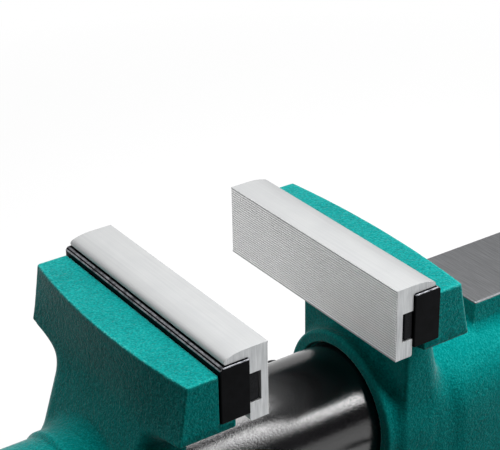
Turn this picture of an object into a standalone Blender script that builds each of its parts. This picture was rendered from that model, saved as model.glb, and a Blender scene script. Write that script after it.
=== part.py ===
# Bench vise with a round steel slide, a swivel base and magnetic soft jaws.
# Metres, +Z up. The origin is on the swivel axis at the underside of the base,
# +X runs along the jaws and the moving jaw closes towards +Y.

import math

import bmesh
import bpy
from mathutils import Matrix, Vector

# Clearances
seat_gap = 0.0003           # between neighbouring pieces that touch on the real vise
cut_overrun = 0.004         # how far a cutter reaches past the face it opens
weld_distance = 0.00001     # points a cut leaves closer than this become one

# Jaws, common sizes
jaw_length = 0.125
soft_jaw_opening = 0.066    # between the soft jaws as the vise stands
tube_axis_height = 0.105
jaw_top_above_axis = 0.0986
fixed_seat_y = -0.0752      # machined seat of the fixed jaw plate

# Soft jaw, an extruded angle with a magnet slot in its back
soft_jaw_height = 0.0349
soft_jaw_face_thickness = 0.0092
soft_jaw_depth = 0.0212
soft_jaw_flange_thickness = 0.0042
soft_jaw_flat_depth = 0.0107
soft_jaw_tip_drop = 0.0020
magnet_slot_from_top = 0.0124
magnet_slot_height = 0.0138
magnet_slot_front_wall = 0.0036
magnet_thickness = 0.0044
magnet_end_setback = 0.0003
magnet_slot_clearance = 0.0003
soft_jaw_edge = 0.0004

# Jaw plate and its screws
plate_overhang = 0.001      # past each end of the soft jaw
plate_thickness = 0.0140
plate_height = 0.0260
plate_edge = 0.0006
plate_top_chamfer = 0.0012
plate_screw_from_end = 0.0255
plate_screw_radius = 0.004
plate_screw_grip = 0.011
plate_screw_head_radius = 0.0065
plate_screw_head_height = 0.008
screw_hole_clearance = 0.0003
socket_radius = 0.0034
socket_depth = 0.0042

# Jaw heads and necks, the same form on both castings
head_below_soft_jaw = 0.0080
head_height = 0.0270
head_end_radius = 0.0012
head_edge = 0.0008
shoulder_height = 0.0170
shoulder_power = 3.5
neck_corner_radius = 0.0090
ledge_reach = 0.0079
ledge_thickness = 0.0055
ledge_fade = 0.0125
neck_setback = 0.0022
fixed_head_depth_end = 0.0126
fixed_head_depth_middle = 0.0164
fixed_head_depth_bottom = 0.0177
fixed_neck_depth_at_axis = 0.0314
fixed_neck_half_width = 0.0400
moving_head_depth_end = 0.0147
moving_head_depth_middle = 0.0198
moving_head_depth_bottom = 0.0187
moving_neck_depth_at_axis = 0.0420
moving_neck_half_width = 0.0412
moving_neck_start_drop = 0.0040
moving_neck_root_half_width = 0.0392

# Slide tube
tube_radius = 0.03175
tube_bore_radius = 0.0240
tube_rear_y = 0.080
tube_slot_half_width = 0.0083
tube_slot_end_clearance = 0.003
tube_edge = 0.0008

# Fixed casting
collar_reach = 0.0066       # collar face in front of the plate seat
collar_radius = 0.0390
collar_root_radius = 0.0396
collar_edge = 0.0020
collar_depth = 0.0260
bore_mouth_radius = 0.0332
bore_mouth_depth = 0.0030
barrel_half_width = 0.0435
barrel_half_height = 0.0380
barrel_front_half_width = 0.0360
barrel_front_half_height = 0.0362
barrel_front_y = -0.064
barrel_full_y = -0.036
barrel_rear_y = 0.085
barrel_rear_edge = 0.0030
barrel_power = 2.5
anvil_half_width = 0.0240
anvil_front_y = -0.0180
anvil_rear_y = 0.0560
anvil_top_above_axis = 0.0475
anvil_edge = 0.0010
anvil_root_above_axis = 0.0250
pedestal_power = 7.0
pedestal_foot_depth = 0.0060
pedestal_rear_y = 0.0480
pedestal_rear_rise_length = 0.0240
fixed_neck_foot_setback = 0.0170
fixed_neck_foot_half_width = 0.0380
fixed_neck_foot_depth = 0.0090
fixed_neck_straight_below_axis = 0.0320
foot_margin = 0.0040         # of the foot outside the lock bolts' circle
foot_thickness = 0.0140
foot_edge = 0.0020
lug_from_barrel = 0.0225     # lock bolt's axis from the barrel's side
lug_radius = 0.0155
lug_rise = 0.0008
lug_edge = 0.0010
spigot_radius = 0.0140

# Moving casting
hub_radius = 0.0390
hub_root_radius = 0.0403
hub_rear_reach = 0.0066     # hub face in front of the plate seat
hub_edge = 0.0020
hub_waist_setback = 0.0430
hub_front_setback = 0.0660
hub_nose_radius = 0.0270
hub_nose_length = 0.0120
hub_front_wall = 0.0160
hub_waist_radius = 0.0386

# Slide tube lock screw
tube_screw_radius = 0.0050
tube_screw_dog_radius = 0.0030
tube_screw_setback = 0.0470
tube_screw_recess = 0.0010
tube_screw_dog_length = 0.0056
tube_screw_socket_radius = 0.0029
tube_screw_socket_depth = 0.0030

# Tube end cap
cap_flange_thickness = 0.0030
cap_spigot_length = 0.0120
cap_edge = 0.0010
cap_flange_radius = 0.0312

# Lead screw, its collar and pin
thread_radius = 0.0120
screw_bearing_clearance = 0.0004
screw_rear_y = 0.062
screw_tip_chamfer = 0.0020
screw_head_radius = 0.0180
screw_head_length = 0.0444
screw_head_edge = 0.0020
screw_head_groove = 0.0012
screw_head_band = 0.0060
thrust_washer_radius = 0.0190
thrust_washer_thickness = 0.0030
retaining_collar_radius = 0.0200
retaining_collar_length = 0.0120
retaining_collar_edge = 0.0010
collar_pin_radius = 0.0025
collar_pin_overhang = 0.0005

# Handle
bar_radius = 0.0070
bar_half_length = 0.0840
bar_hole_from_nose = 0.0200
bar_spigot_radius = 0.0047
bar_spigot_length = 0.0100
knob_radius = 0.0105
knob_length = 0.0150
knob_round = 0.0035
knob_neck_radius = 0.0080

# Lead nut, its key and the two bolts
nut_front_y = -0.0540
nut_length = 0.0360
nut_keyway_above_tube = 0.0030
key_half_width = 0.0080
key_flange_half_width = 0.0115
key_flange_thickness = 0.0060
key_pocket_roof_height = 0.0560
key_pocket_margin = 0.0005
key_bolt_radius = 0.0040
key_bolt_head_radius = 0.0065
key_bolt_head_height = 0.0080
key_bolt_spacing = 0.0180
key_bolt_engagement = 0.0072

# Swivel base
base_rim_width = 0.0070      # outside the ring slot's channel
base_height = 0.0220
base_edge = 0.0020
socket_floor_height = 0.0070
slot_lip_thickness = 0.0080
slot_floor_clearance = 0.0017
slot_channel_half_width = 0.0110
slot_entry_radius = 0.0126
ear_reach = 0.0080           # centre of an ear outside the base's rim
ear_radius = 0.0130
ear_root_half_width = 0.0200
ear_height = 0.0130
ear_hole_radius = 0.0055
ear_count = 4

# Lock bolts, washers and levers
lock_bolt_radius = 0.0060
lock_slot_clearance = 0.0003
lock_head_half_width = 0.0100
lock_head_half_length = 0.0070
lock_head_thickness = 0.0070
lock_bolt_proud = 0.0020
washer_radius = 0.0120
washer_thickness = 0.0025
lever_hub_radius = 0.0105
lever_hub_height = 0.0150
lever_hub_edge = 0.0015
lever_arm_root_radius = 0.0052
lever_arm_tip_radius = 0.0040
lever_arm_start = 0.0085
lever_reach = 0.0620
lever_rise_angle = math.radians(20)
lever_ball_radius = 0.0080
lever_rest_angle = math.radians(-70)

# Facets
large_round = 48
middle_round = 32
small_round = 20
tiny_round = 12
socket_sides = 6
corner_steps = 4
back_steps = 6
flare_steps = 5
curve_steps = 5

# Derived places
magnet_length = jaw_length - 2 * magnet_end_setback
plate_length = jaw_length + 2 * plate_overhang
plate_screw_spacing = plate_length - 2 * plate_screw_from_end
lug_offset = barrel_half_width + lug_from_barrel
foot_radius = lug_offset + foot_margin
base_radius = lug_offset + slot_channel_half_width + base_rim_width
ear_centre_radius = base_radius + ear_reach
jaw_top_z = tube_axis_height + jaw_top_above_axis
plate_top_z = jaw_top_z - soft_jaw_flange_thickness - seat_gap
plate_bottom_z = plate_top_z - plate_height
head_top_z = jaw_top_z - head_below_soft_jaw
head_bottom_z = head_top_z - head_height
neck_top_z = head_bottom_z - shoulder_height
ledge_top_z = plate_bottom_z - seat_gap
ledge_bottom_z = ledge_top_z - ledge_thickness
neck_front_top_z = ledge_bottom_z - ledge_fade
face_stack = seat_gap + plate_thickness + seat_gap + soft_jaw_face_thickness
fixed_face_y = fixed_seat_y - face_stack
moving_face_y = fixed_face_y - soft_jaw_opening
moving_seat_y = moving_face_y - face_stack
plate_screw_z = plate_bottom_z + plate_height / 2
closing_travel = soft_jaw_opening - seat_gap
opening_travel = soft_jaw_opening
foot_bottom_z = base_height + seat_gap
foot_top_z = foot_bottom_z + foot_thickness
casting_bore_radius = tube_radius + seat_gap
collar_face_y = fixed_seat_y - collar_reach
hub_rear_y = moving_seat_y + hub_rear_reach
hub_waist_y = moving_seat_y - hub_waist_setback
hub_shoulder_y = moving_seat_y - hub_front_setback
hub_face_y = hub_shoulder_y - hub_nose_length
hub_wall_y = hub_face_y + hub_front_wall
tube_front_y = hub_wall_y + seat_gap
screw_bore_radius = thread_radius + screw_bearing_clearance
screw_nose_y = hub_face_y - seat_gap - thrust_washer_thickness - seat_gap - screw_head_length
bar_y = screw_nose_y + bar_hole_from_nose
nut_rear_y = nut_front_y + nut_length
nut_radius = tube_bore_radius - seat_gap
nut_keyway_z = tube_axis_height - nut_radius + nut_keyway_above_tube
key_flange_top_z = key_pocket_roof_height - seat_gap
key_flange_bottom_z = key_flange_top_z - key_flange_thickness
tube_screw_y = moving_seat_y - tube_screw_setback
slot_inner_radius = lug_offset - lock_bolt_radius - lock_slot_clearance
slot_outer_radius = lug_offset + lock_bolt_radius + lock_slot_clearance
lever_hub_z = foot_top_z + seat_gap + washer_thickness + seat_gap
lock_head_top_z = base_height - slot_lip_thickness - seat_gap
slot_floor_height = lock_head_top_z - lock_head_thickness - slot_floor_clearance

along_x = Matrix.Rotation(math.radians(90), 4, "Y")
along_y = Matrix.Rotation(math.radians(-90), 4, "X")
toward_minus_y = Matrix.Rotation(math.radians(90), 4, "X")
toward_minus_x = Matrix.Rotation(math.radians(-90), 4, "Y")
upright = Matrix.Identity(4)


def clear_scene():
    for old in list(bpy.data.objects):
        bpy.data.objects.remove(old)


def material(name, colour, roughness, metallic):
    made = bpy.data.materials.new(name)
    made.use_nodes = True
    shader = made.node_tree.nodes["Principled BSDF"]
    shader.inputs["Base Color"].default_value = (*colour, 1)
    shader.inputs["Roughness"].default_value = roughness
    shader.inputs["Metallic"].default_value = metallic
    return made


def axis_empty(name, place, parent=None):
    """An empty on a joint's axis, the parent of what moves about it."""
    empty = bpy.data.objects.new(name, None)
    bpy.context.scene.collection.objects.link(empty)
    empty.parent = parent
    empty.location = Vector(place) - (Vector(parent["place"]) if parent else Vector())
    empty["place"] = Vector(place)
    return empty


def add_object(name, form, turn, place, parent=None):
    mesh = bpy.data.meshes.new(name)
    bmesh.ops.recalc_face_normals(form, faces=form.faces)
    form.to_mesh(mesh)
    form.free()
    obj = bpy.data.objects.new(name, mesh)
    bpy.context.scene.collection.objects.link(obj)
    obj.rotation_euler = turn.to_euler()
    obj.location = Vector(place)
    if parent:
        obj.parent = parent
        obj.location = Vector(place) - Vector(parent["place"])
    return obj


def piece(name, form, finish, turn=upright, place=(0, 0, 0), parent=None, smooth=True):
    """A node: one closed solid with its own material."""
    obj = add_object(name, form, turn, place, parent)
    obj.data.materials.append(finish)
    if smooth:
        obj.data.shade_smooth()
        obj.data.set_sharp_from_angle(angle=math.radians(35))
    return obj


def change(obj, operation, form, turn, place, overlapping):
    """Join forms to an object, or cut them away, with one live Boolean."""
    tool = add_object(f"{obj.name}_{operation.lower()}_{len(obj.modifiers)}", form, turn, place)
    tool.hide_render = True
    tool.display_type = "WIRE"
    modifier = obj.modifiers.new(tool.name, "BOOLEAN")
    modifier.operation = operation
    modifier.solver = "EXACT"
    modifier.use_self = overlapping
    modifier.object = tool
    weld = obj.modifiers.new(f"{tool.name}_weld", "WELD")
    weld.merge_threshold = weld_distance
    obj.modifiers.new(f"{tool.name}_faces", "TRIANGULATE")


def join(obj, form, turn=upright, place=(0, 0, 0), overlapping=False):
    change(obj, "UNION", form, turn, place, overlapping)


def cut(obj, form, turn=upright, place=(0, 0, 0), overlapping=False):
    change(obj, "DIFFERENCE", form, turn, place, overlapping)


def loft(rings):
    """A closed solid through rings of the same number of points."""
    form = bmesh.new()
    rows = [[form.verts.new(point) for point in ring] for ring in rings]
    count = len(rows[0])
    for lower, upper in zip(rows, rows[1:]):
        for index in range(count):
            after = (index + 1) % count
            form.faces.new((lower[index], lower[after], upper[after], upper[index]))
    form.faces.new(rows[0][::-1])
    form.faces.new(rows[-1])
    return form


def turned(outline, steps):
    """A solid turned about Z from closed points (radius, height)."""
    form = bmesh.new()
    corners = [form.verts.new((radius, 0, height)) for radius, height in outline]
    edges = [form.edges.new(pair) for pair in zip(corners, corners[1:])]
    if outline[0][0] > 0:
        edges.append(form.edges.new((corners[-1], corners[0])))
    bmesh.ops.spin(form, geom=corners + edges, cent=(0, 0, 0), axis=(0, 0, 1),
                   angle=math.tau, steps=steps, use_merge=True)
    bmesh.ops.remove_doubles(form, verts=form.verts, dist=weld_distance)
    return form


def rod(radius, low, high, steps, edge=0.0):
    if not edge:
        return turned([(0, low), (radius, low), (radius, high), (0, high)], steps)
    outline = [(0, low), (radius - edge, low), (radius, low + edge)]
    outline += [(radius, high - edge), (radius - edge, high), (0, high)]
    return turned(outline, steps)


def ring(radius, bore, low, high, steps, edge=0.0):
    if not edge:
        return turned([(bore, low), (radius, low), (radius, high), (bore, high)], steps)
    outline = [(bore, low), (radius - edge, low), (radius, low + edge)]
    outline += [(radius, high - edge), (radius - edge, high), (bore, high)]
    return turned(outline, steps)


def block(low, high, edge=0.0):
    form = bmesh.new()
    size = Vector(high) - Vector(low)
    middle = (Vector(high) + Vector(low)) / 2
    bmesh.ops.create_cube(form, size=1, matrix=Matrix.Translation(middle) @ Matrix.Diagonal((*size, 1)))
    if edge:
        bmesh.ops.bevel(form, geom=form.edges[:], offset=edge, segments=1, profile=0.5, affect="EDGES")
    return form


def prism(outline, low, high):
    """A flat outline (a, b) extruded along its third axis from low to high."""
    return loft([[(a, b, level) for a, b in outline] for level in (low, high)])


def hex_socket(radius, low, high):
    angles = [math.tau * k / socket_sides for k in range(socket_sides)]
    outline = [(radius * math.cos(angle), radius * math.sin(angle)) for angle in angles]
    return prism(outline, low, high)


def together(forms):
    """Separate forms as one cutter or addition."""
    form = bmesh.new()
    for part in forms:
        holder = bpy.data.meshes.new("holder")
        bmesh.ops.recalc_face_normals(part, faces=part.faces)
        part.to_mesh(holder)
        part.free()
        form.from_mesh(holder)
        bpy.data.meshes.remove(holder)
    return form


def moved(form, place, turn=upright):
    bmesh.ops.transform(form, matrix=Matrix.Translation(place) @ turn, verts=form.verts)
    return form


def mix(first, last, share):
    return first + (last - first) * share


def ease(share):
    """A share that leaves 0 and reaches 1 smoothly."""
    return share * share * (3 - 2 * share)


def barrel_curve(half_width, half_height, depth, low_power, steps):
    """Section of the barrel: a rounded back above the slide, a skirt of its own depth below."""
    points = []
    for step in range(steps):
        angle = math.tau * (step + 0.5) / steps
        upper = math.sin(angle) > 0
        power = barrel_power if upper else low_power
        reach = half_height if upper else depth
        points.append((math.copysign(abs(math.cos(angle)) ** (2 / power) * half_width, math.cos(angle)),
                       math.copysign(abs(math.sin(angle)) ** (2 / power) * reach, math.sin(angle))))
    return points


def arc(centre, radius, start, end, steps):
    angles = [math.radians(mix(start, end, step / steps)) for step in range(steps + 1)]
    return [(centre[0] + radius * math.cos(a), centre[1] + radius * math.sin(a)) for a in angles]


def jaw_ring(half, front, back_end, back_middle, radius):
    """Plan of a head or neck: x along the jaw, depth behind the plate seat."""
    side = half - radius
    points = arc((half - head_end_radius, front + head_end_radius), head_end_radius, -90, 0, 2)
    points += arc((side, back_end - radius), radius, 0, 90, corner_steps)
    for step in range(1, back_steps):
        x = mix(side, -side, step / back_steps)
        points.append((x, mix(back_middle, back_end, (x / side) ** 2)))
    points += arc((-side, back_end - radius), radius, 90, 180, corner_steps)
    points += arc((head_end_radius - half, front + head_end_radius), head_end_radius, 180, 270, 2)
    return points


def jaw_casting_rings(seat_y, side, depths, neck_half_width, foot_levels):
    """Rings of a jaw head and its neck, from the bottom up.

    side is +1 where depth runs towards +Y. foot_levels are (height, half width,
    front setback) of the neck below the head, the lowest first.
    """
    depth_end, depth_middle, depth_bottom, depth_at_axis = depths
    levels = []
    for height, half, setback in foot_levels:
        levels.append((height, half, setback, 0))
    for step in range(flare_steps + 1):
        share = step / flare_steps
        height = mix(neck_top_z, head_bottom_z, share)
        half = mix(neck_half_width, jaw_length / 2, share ** shoulder_power)
        levels.append((height, half, None, share))
    levels.append((head_top_z - head_edge, jaw_length / 2, None, 1))
    rings = []
    for height, half, setback, share in levels:
        if setback is None:
            fade = max(0, min(1, (height - neck_front_top_z) / ledge_fade))
            setback = mix(neck_setback, -ledge_reach, fade ** 2)
        if height > head_bottom_z:
            up = (height - head_bottom_z) / head_height
            back_end = mix(depth_bottom, depth_end, up)
            back_middle = mix(depth_bottom, depth_middle, up)
        else:
            down = (head_bottom_z - height) / (head_bottom_z - tube_axis_height)
            back_end = mix(depth_bottom, depth_at_axis, min(down, 1))
            back_middle = back_end
        radius = mix(neck_corner_radius, head_end_radius, share)
        plan = jaw_ring(half, setback, back_end, back_middle, radius)
        rings.append([(x, seat_y + side * depth, height) for x, depth in plan])
    plan = jaw_ring(jaw_length / 2 - head_edge, head_edge - ledge_reach, depth_end - head_edge,
                    depth_middle - head_edge, head_end_radius)
    rings.append([(x, seat_y + side * depth, head_top_z) for x, depth in plan])
    return rings


def plate_seat_cutters(seat_y, side):
    """The milled seat of a jaw plate and its two screw holes."""
    front = seat_y - side * (ledge_reach + cut_overrun)
    reach = jaw_length / 2 + cut_overrun
    low = (-reach, min(front, seat_y), ledge_top_z)
    high = (reach, max(front, seat_y), head_top_z + cut_overrun)
    cutters = [block(low, high)]
    radius = plate_screw_radius + screw_hole_clearance
    turn = along_y if side > 0 else toward_minus_y
    for x in (-plate_screw_spacing / 2, plate_screw_spacing / 2):
        hole = rod(radius, -cut_overrun, plate_screw_grip + seat_gap, tiny_round)
        cutters.append(moved(hole, (x, seat_y, plate_screw_z), turn))
    return cutters


def make_fixed_body(finish, parent):
    depths = (fixed_head_depth_end, fixed_head_depth_middle, fixed_head_depth_bottom,
              fixed_neck_depth_at_axis)
    straight_z = tube_axis_height - fixed_neck_straight_below_axis
    foot_levels = [(foot_top_z - fixed_neck_foot_depth, fixed_neck_foot_half_width,
                    fixed_neck_foot_setback),
                   (straight_z, fixed_neck_half_width, neck_setback),
                   (tube_axis_height, fixed_neck_half_width, neck_setback)]
    rings = jaw_casting_rings(fixed_seat_y, 1, depths, fixed_neck_half_width, foot_levels)
    body = piece("fixed_body", loft(rings), finish, parent=parent)
    axis = (0, 0, tube_axis_height)
    collar_end_y = collar_face_y + collar_depth
    collar = turned([(0, collar_face_y), (collar_radius - collar_edge, collar_face_y),
                     (collar_radius, collar_face_y + collar_edge), (collar_root_radius, collar_end_y),
                     (0, collar_end_y)], large_round)
    added = [moved(collar, axis, along_y)]
    stations = []
    pedestal_depth = tube_axis_height - foot_top_z + pedestal_foot_depth
    for step in range(flare_steps + 1):
        share = step / flare_steps
        stations.append((mix(barrel_front_y, barrel_full_y, share),
                         mix(barrel_front_half_width, barrel_half_width, ease(share)),
                         mix(barrel_front_half_height, barrel_half_height, ease(share)),
                         pedestal_depth, pedestal_power))
    for step in range(flare_steps + 1):
        share = step / flare_steps
        stations.append((pedestal_rear_y + pedestal_rear_rise_length * share,
                         barrel_half_width, barrel_half_height,
                         mix(pedestal_depth, barrel_half_height, ease(share)),
                         mix(pedestal_power, barrel_power, ease(share))))
    stations.append((barrel_rear_y - barrel_rear_edge, barrel_half_width, barrel_half_height,
                     barrel_half_height, barrel_power))
    rear_half_height = barrel_half_height - barrel_rear_edge
    stations.append((barrel_rear_y, barrel_half_width - barrel_rear_edge, rear_half_height,
                     rear_half_height, barrel_power))
    rings = []
    for y, half_width, half_height, depth, low_power in stations:
        curve = barrel_curve(half_width, half_height, depth, low_power, large_round)
        rings.append([(x, y, tube_axis_height + z) for x, z in curve])
    added.append(loft(rings))
    added.append(rod(foot_radius, foot_bottom_z, foot_top_z - lug_rise, large_round, foot_edge))
    for x in (-lug_offset, lug_offset):
        lug = rod(lug_radius, foot_bottom_z + lug_rise, foot_top_z, middle_round, lug_edge)
        added.append(moved(lug, (x, 0, 0)))
    spigot_bottom_z = socket_floor_height + seat_gap
    added.append(rod(spigot_radius, spigot_bottom_z, foot_bottom_z + foot_edge, middle_round))
    anvil_top_z = tube_axis_height + anvil_top_above_axis
    added.append(block((-anvil_half_width, anvil_front_y, tube_axis_height + anvil_root_above_axis),
                       (anvil_half_width, anvil_rear_y, anvil_top_z), anvil_edge))
    join(body, together(added), overlapping=True)
    start = collar_face_y - cut_overrun
    mouth_end = collar_face_y + bore_mouth_depth
    end = barrel_rear_y + cut_overrun
    bore = turned([(0, start), (bore_mouth_radius, start), (bore_mouth_radius, mouth_end),
                   (casting_bore_radius, mouth_end), (casting_bore_radius, end), (0, end)], large_round)
    removed = [moved(bore, axis, along_y)]
    half = key_half_width + seat_gap
    removed.append(block((-half, nut_front_y - seat_gap, key_flange_bottom_z),
                         (half, nut_rear_y + seat_gap, tube_axis_height)))
    half = key_flange_half_width + seat_gap
    removed.append(block((-half, nut_front_y - key_pocket_margin, foot_bottom_z - cut_overrun),
                         (half, nut_rear_y + key_pocket_margin, key_pocket_roof_height)))
    radius = lock_bolt_radius + lock_slot_clearance
    for x in (-lug_offset, lug_offset):
        hole = rod(radius, foot_bottom_z - cut_overrun, foot_top_z + cut_overrun, small_round)
        removed.append(moved(hole, (x, 0, 0)))
    removed += plate_seat_cutters(fixed_seat_y, 1)
    cut(body, together(removed), overlapping=True)


def make_moving_jaw(finish, parent):
    depths = (moving_head_depth_end, moving_head_depth_middle, moving_head_depth_bottom,
              moving_neck_depth_at_axis)
    foot_levels = [(tube_axis_height - moving_neck_start_drop, moving_neck_root_half_width,
                    neck_setback)]
    rings = jaw_casting_rings(moving_seat_y, -1, depths, moving_neck_half_width, foot_levels)
    jaw = piece("moving_jaw", loft(rings), finish, parent=parent)
    axis = (0, 0, tube_axis_height)
    outline = [(0, hub_rear_y), (hub_radius - hub_edge, hub_rear_y), (hub_radius, hub_rear_y - hub_edge),
               (hub_root_radius, moving_seat_y - neck_setback),
               (hub_root_radius, moving_seat_y - moving_neck_depth_at_axis),
               (hub_waist_radius, hub_waist_y), (hub_waist_radius, hub_shoulder_y)]
    for step in range(1, curve_steps + 1):
        angle = math.radians(90 * step / curve_steps)
        outline.append((mix(hub_nose_radius, hub_waist_radius, math.cos(angle)),
                        hub_shoulder_y - hub_nose_length * math.sin(angle)))
    outline.append((0, hub_face_y))
    join(jaw, turned(outline, large_round), along_y, axis)
    start = hub_face_y - cut_overrun
    end = hub_rear_y + cut_overrun
    bore = turned([(0, start), (screw_bore_radius, start), (screw_bore_radius, hub_wall_y),
                   (casting_bore_radius, hub_wall_y), (casting_bore_radius, end), (0, end)], large_round)
    removed = [moved(bore, axis, along_y)]
    hole = rod(tube_screw_radius + screw_hole_clearance, tube_axis_height - hub_radius - cut_overrun,
               tube_axis_height - tube_radius + cut_overrun, small_round)
    removed.append(moved(hole, (0, tube_screw_y, 0)))
    removed += plate_seat_cutters(moving_seat_y, -1)
    cut(jaw, together(removed), overlapping=True)


def make_slide_tube(finish, parent):
    axis = (0, 0, tube_axis_height)
    form = ring(tube_radius, tube_bore_radius, tube_front_y, tube_rear_y, large_round, tube_edge)
    tube = piece("slide_tube", form, finish, along_y, axis, parent)
    slot_front_y = nut_front_y - closing_travel - tube_slot_end_clearance
    slot_rear_y = nut_rear_y + opening_travel + tube_slot_end_clearance
    slot = block((-tube_slot_half_width, slot_front_y, tube_axis_height - tube_radius - cut_overrun),
                 (tube_slot_half_width, slot_rear_y, tube_axis_height))
    cut(tube, slot)
    radius = tube_screw_dog_radius + screw_hole_clearance
    hole = rod(radius, tube_axis_height - tube_radius - cut_overrun, tube_axis_height, tiny_round)
    cut(tube, hole, place=(0, tube_screw_y, 0))


def make_tube_fittings(steel, plastic, parent):
    axis = (0, 0, tube_axis_height)
    bottom = tube_axis_height - hub_waist_radius + tube_screw_recess
    shoulder = tube_axis_height - casting_bore_radius - seat_gap
    tip = shoulder + tube_screw_dog_length
    outline = [(0, bottom), (tube_screw_radius, bottom), (tube_screw_radius, shoulder),
               (tube_screw_dog_radius, shoulder), (tube_screw_dog_radius, tip), (0, tip)]
    screw = piece("slide_tube_screw", turned(outline, small_round), steel,
                  place=(0, tube_screw_y, 0), parent=parent)
    socket = hex_socket(tube_screw_socket_radius, bottom - cut_overrun, bottom + tube_screw_socket_depth)
    cut(screw, socket, place=(0, tube_screw_y, 0))
    front = tube_rear_y - cap_spigot_length
    seat = tube_rear_y + seat_gap
    rear = seat + cap_flange_thickness
    outline = [(0, front), (nut_radius - cap_edge, front), (nut_radius, front + cap_edge),
               (nut_radius, seat), (cap_flange_radius, seat), (cap_flange_radius, rear - cap_edge),
               (cap_flange_radius - cap_edge, rear), (0, rear)]
    piece("tube_end_cap", turned(outline, middle_round), plastic, along_y, axis, parent)


def make_lead_screw(steel, bright, parent):
    axis = (0, 0, tube_axis_height)
    head_rear_y = screw_nose_y + screw_head_length
    band_y = head_rear_y - screw_head_band
    outline = [(0, screw_nose_y), (screw_head_radius - screw_head_edge, screw_nose_y),
               (screw_head_radius, screw_nose_y + screw_head_edge),
               (screw_head_radius, band_y - screw_head_groove),
               (screw_head_radius - screw_head_groove, band_y - screw_head_groove),
               (screw_head_radius - screw_head_groove, band_y), (screw_head_radius, band_y),
               (screw_head_radius, head_rear_y - screw_head_groove),
               (screw_head_radius - screw_head_groove, head_rear_y),
               (thread_radius, head_rear_y), (thread_radius, screw_rear_y - screw_tip_chamfer),
               (thread_radius - screw_tip_chamfer, screw_rear_y), (0, screw_rear_y)]
    screw = piece("lead_screw", turned(outline, middle_round), bright, along_y, axis, parent)
    reach = screw_head_radius + cut_overrun
    bar_hole = rod(bar_radius + seat_gap, -reach, reach, small_round)
    cut(screw, bar_hole, along_x, (0, bar_y, tube_axis_height))
    collar_front_y = hub_wall_y + seat_gap
    collar_rear_y = collar_front_y + retaining_collar_length
    pin_y = (collar_front_y + collar_rear_y) / 2
    pin_place = (0, pin_y, tube_axis_height)
    pin_hole = collar_pin_radius + screw_hole_clearance
    cut(screw, rod(pin_hole, -reach, reach, tiny_round), along_x, pin_place)
    form = ring(retaining_collar_radius, thread_radius + seat_gap, collar_front_y, collar_rear_y,
                middle_round, retaining_collar_edge)
    collar = piece("retaining_collar", form, steel, along_y, axis, parent)
    reach = retaining_collar_radius + cut_overrun
    cut(collar, rod(pin_hole, -reach, reach, tiny_round), along_x, pin_place)
    half = retaining_collar_radius + collar_pin_overhang
    pin = rod(collar_pin_radius, -half, half, tiny_round)
    piece("collar_pin", pin, bright, along_x, pin_place, parent)


def make_thrust_washer(finish, parent):
    rear = hub_face_y - seat_gap
    front = rear - thrust_washer_thickness
    washer = ring(thrust_washer_radius, screw_bore_radius, front, rear, middle_round)
    piece("thrust_washer", washer, finish, along_y, (0, 0, tube_axis_height), parent)


def make_handle(finish, parent):
    place = (0, bar_y, tube_axis_height)
    shoulder = bar_half_length
    tip = bar_half_length + bar_spigot_length
    outline = [(0, -tip), (bar_spigot_radius, -tip), (bar_spigot_radius, -shoulder),
               (bar_radius, -shoulder), (bar_radius, shoulder), (bar_spigot_radius, shoulder),
               (bar_spigot_radius, tip), (0, tip)]
    piece("handle_bar", turned(outline, small_round), finish, along_x, place, parent)
    start = bar_half_length + seat_gap
    end = start + knob_length
    for name, side in (("handle_knob_left", -1), ("handle_knob_right", 1)):
        outline = [(0, end)]
        for step in range(curve_steps + 1):
            angle = math.radians(90 * (1 - step / curve_steps))
            outline.append((knob_radius - knob_round * (1 - math.cos(angle)),
                            end - knob_round * (1 - math.sin(angle))))
        for step in range(curve_steps + 1):
            angle = math.radians(90 * step / curve_steps)
            outline.append((mix(knob_neck_radius, knob_radius, math.cos(angle)),
                            start + knob_round * (1 - math.sin(angle))))
        bore = bar_spigot_radius + seat_gap
        outline += [(bore, start), (bore, tip + seat_gap), (0, tip + seat_gap)]
        turn = along_x if side > 0 else toward_minus_x
        piece(name, turned(outline, small_round), finish, turn, place, parent)


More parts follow.
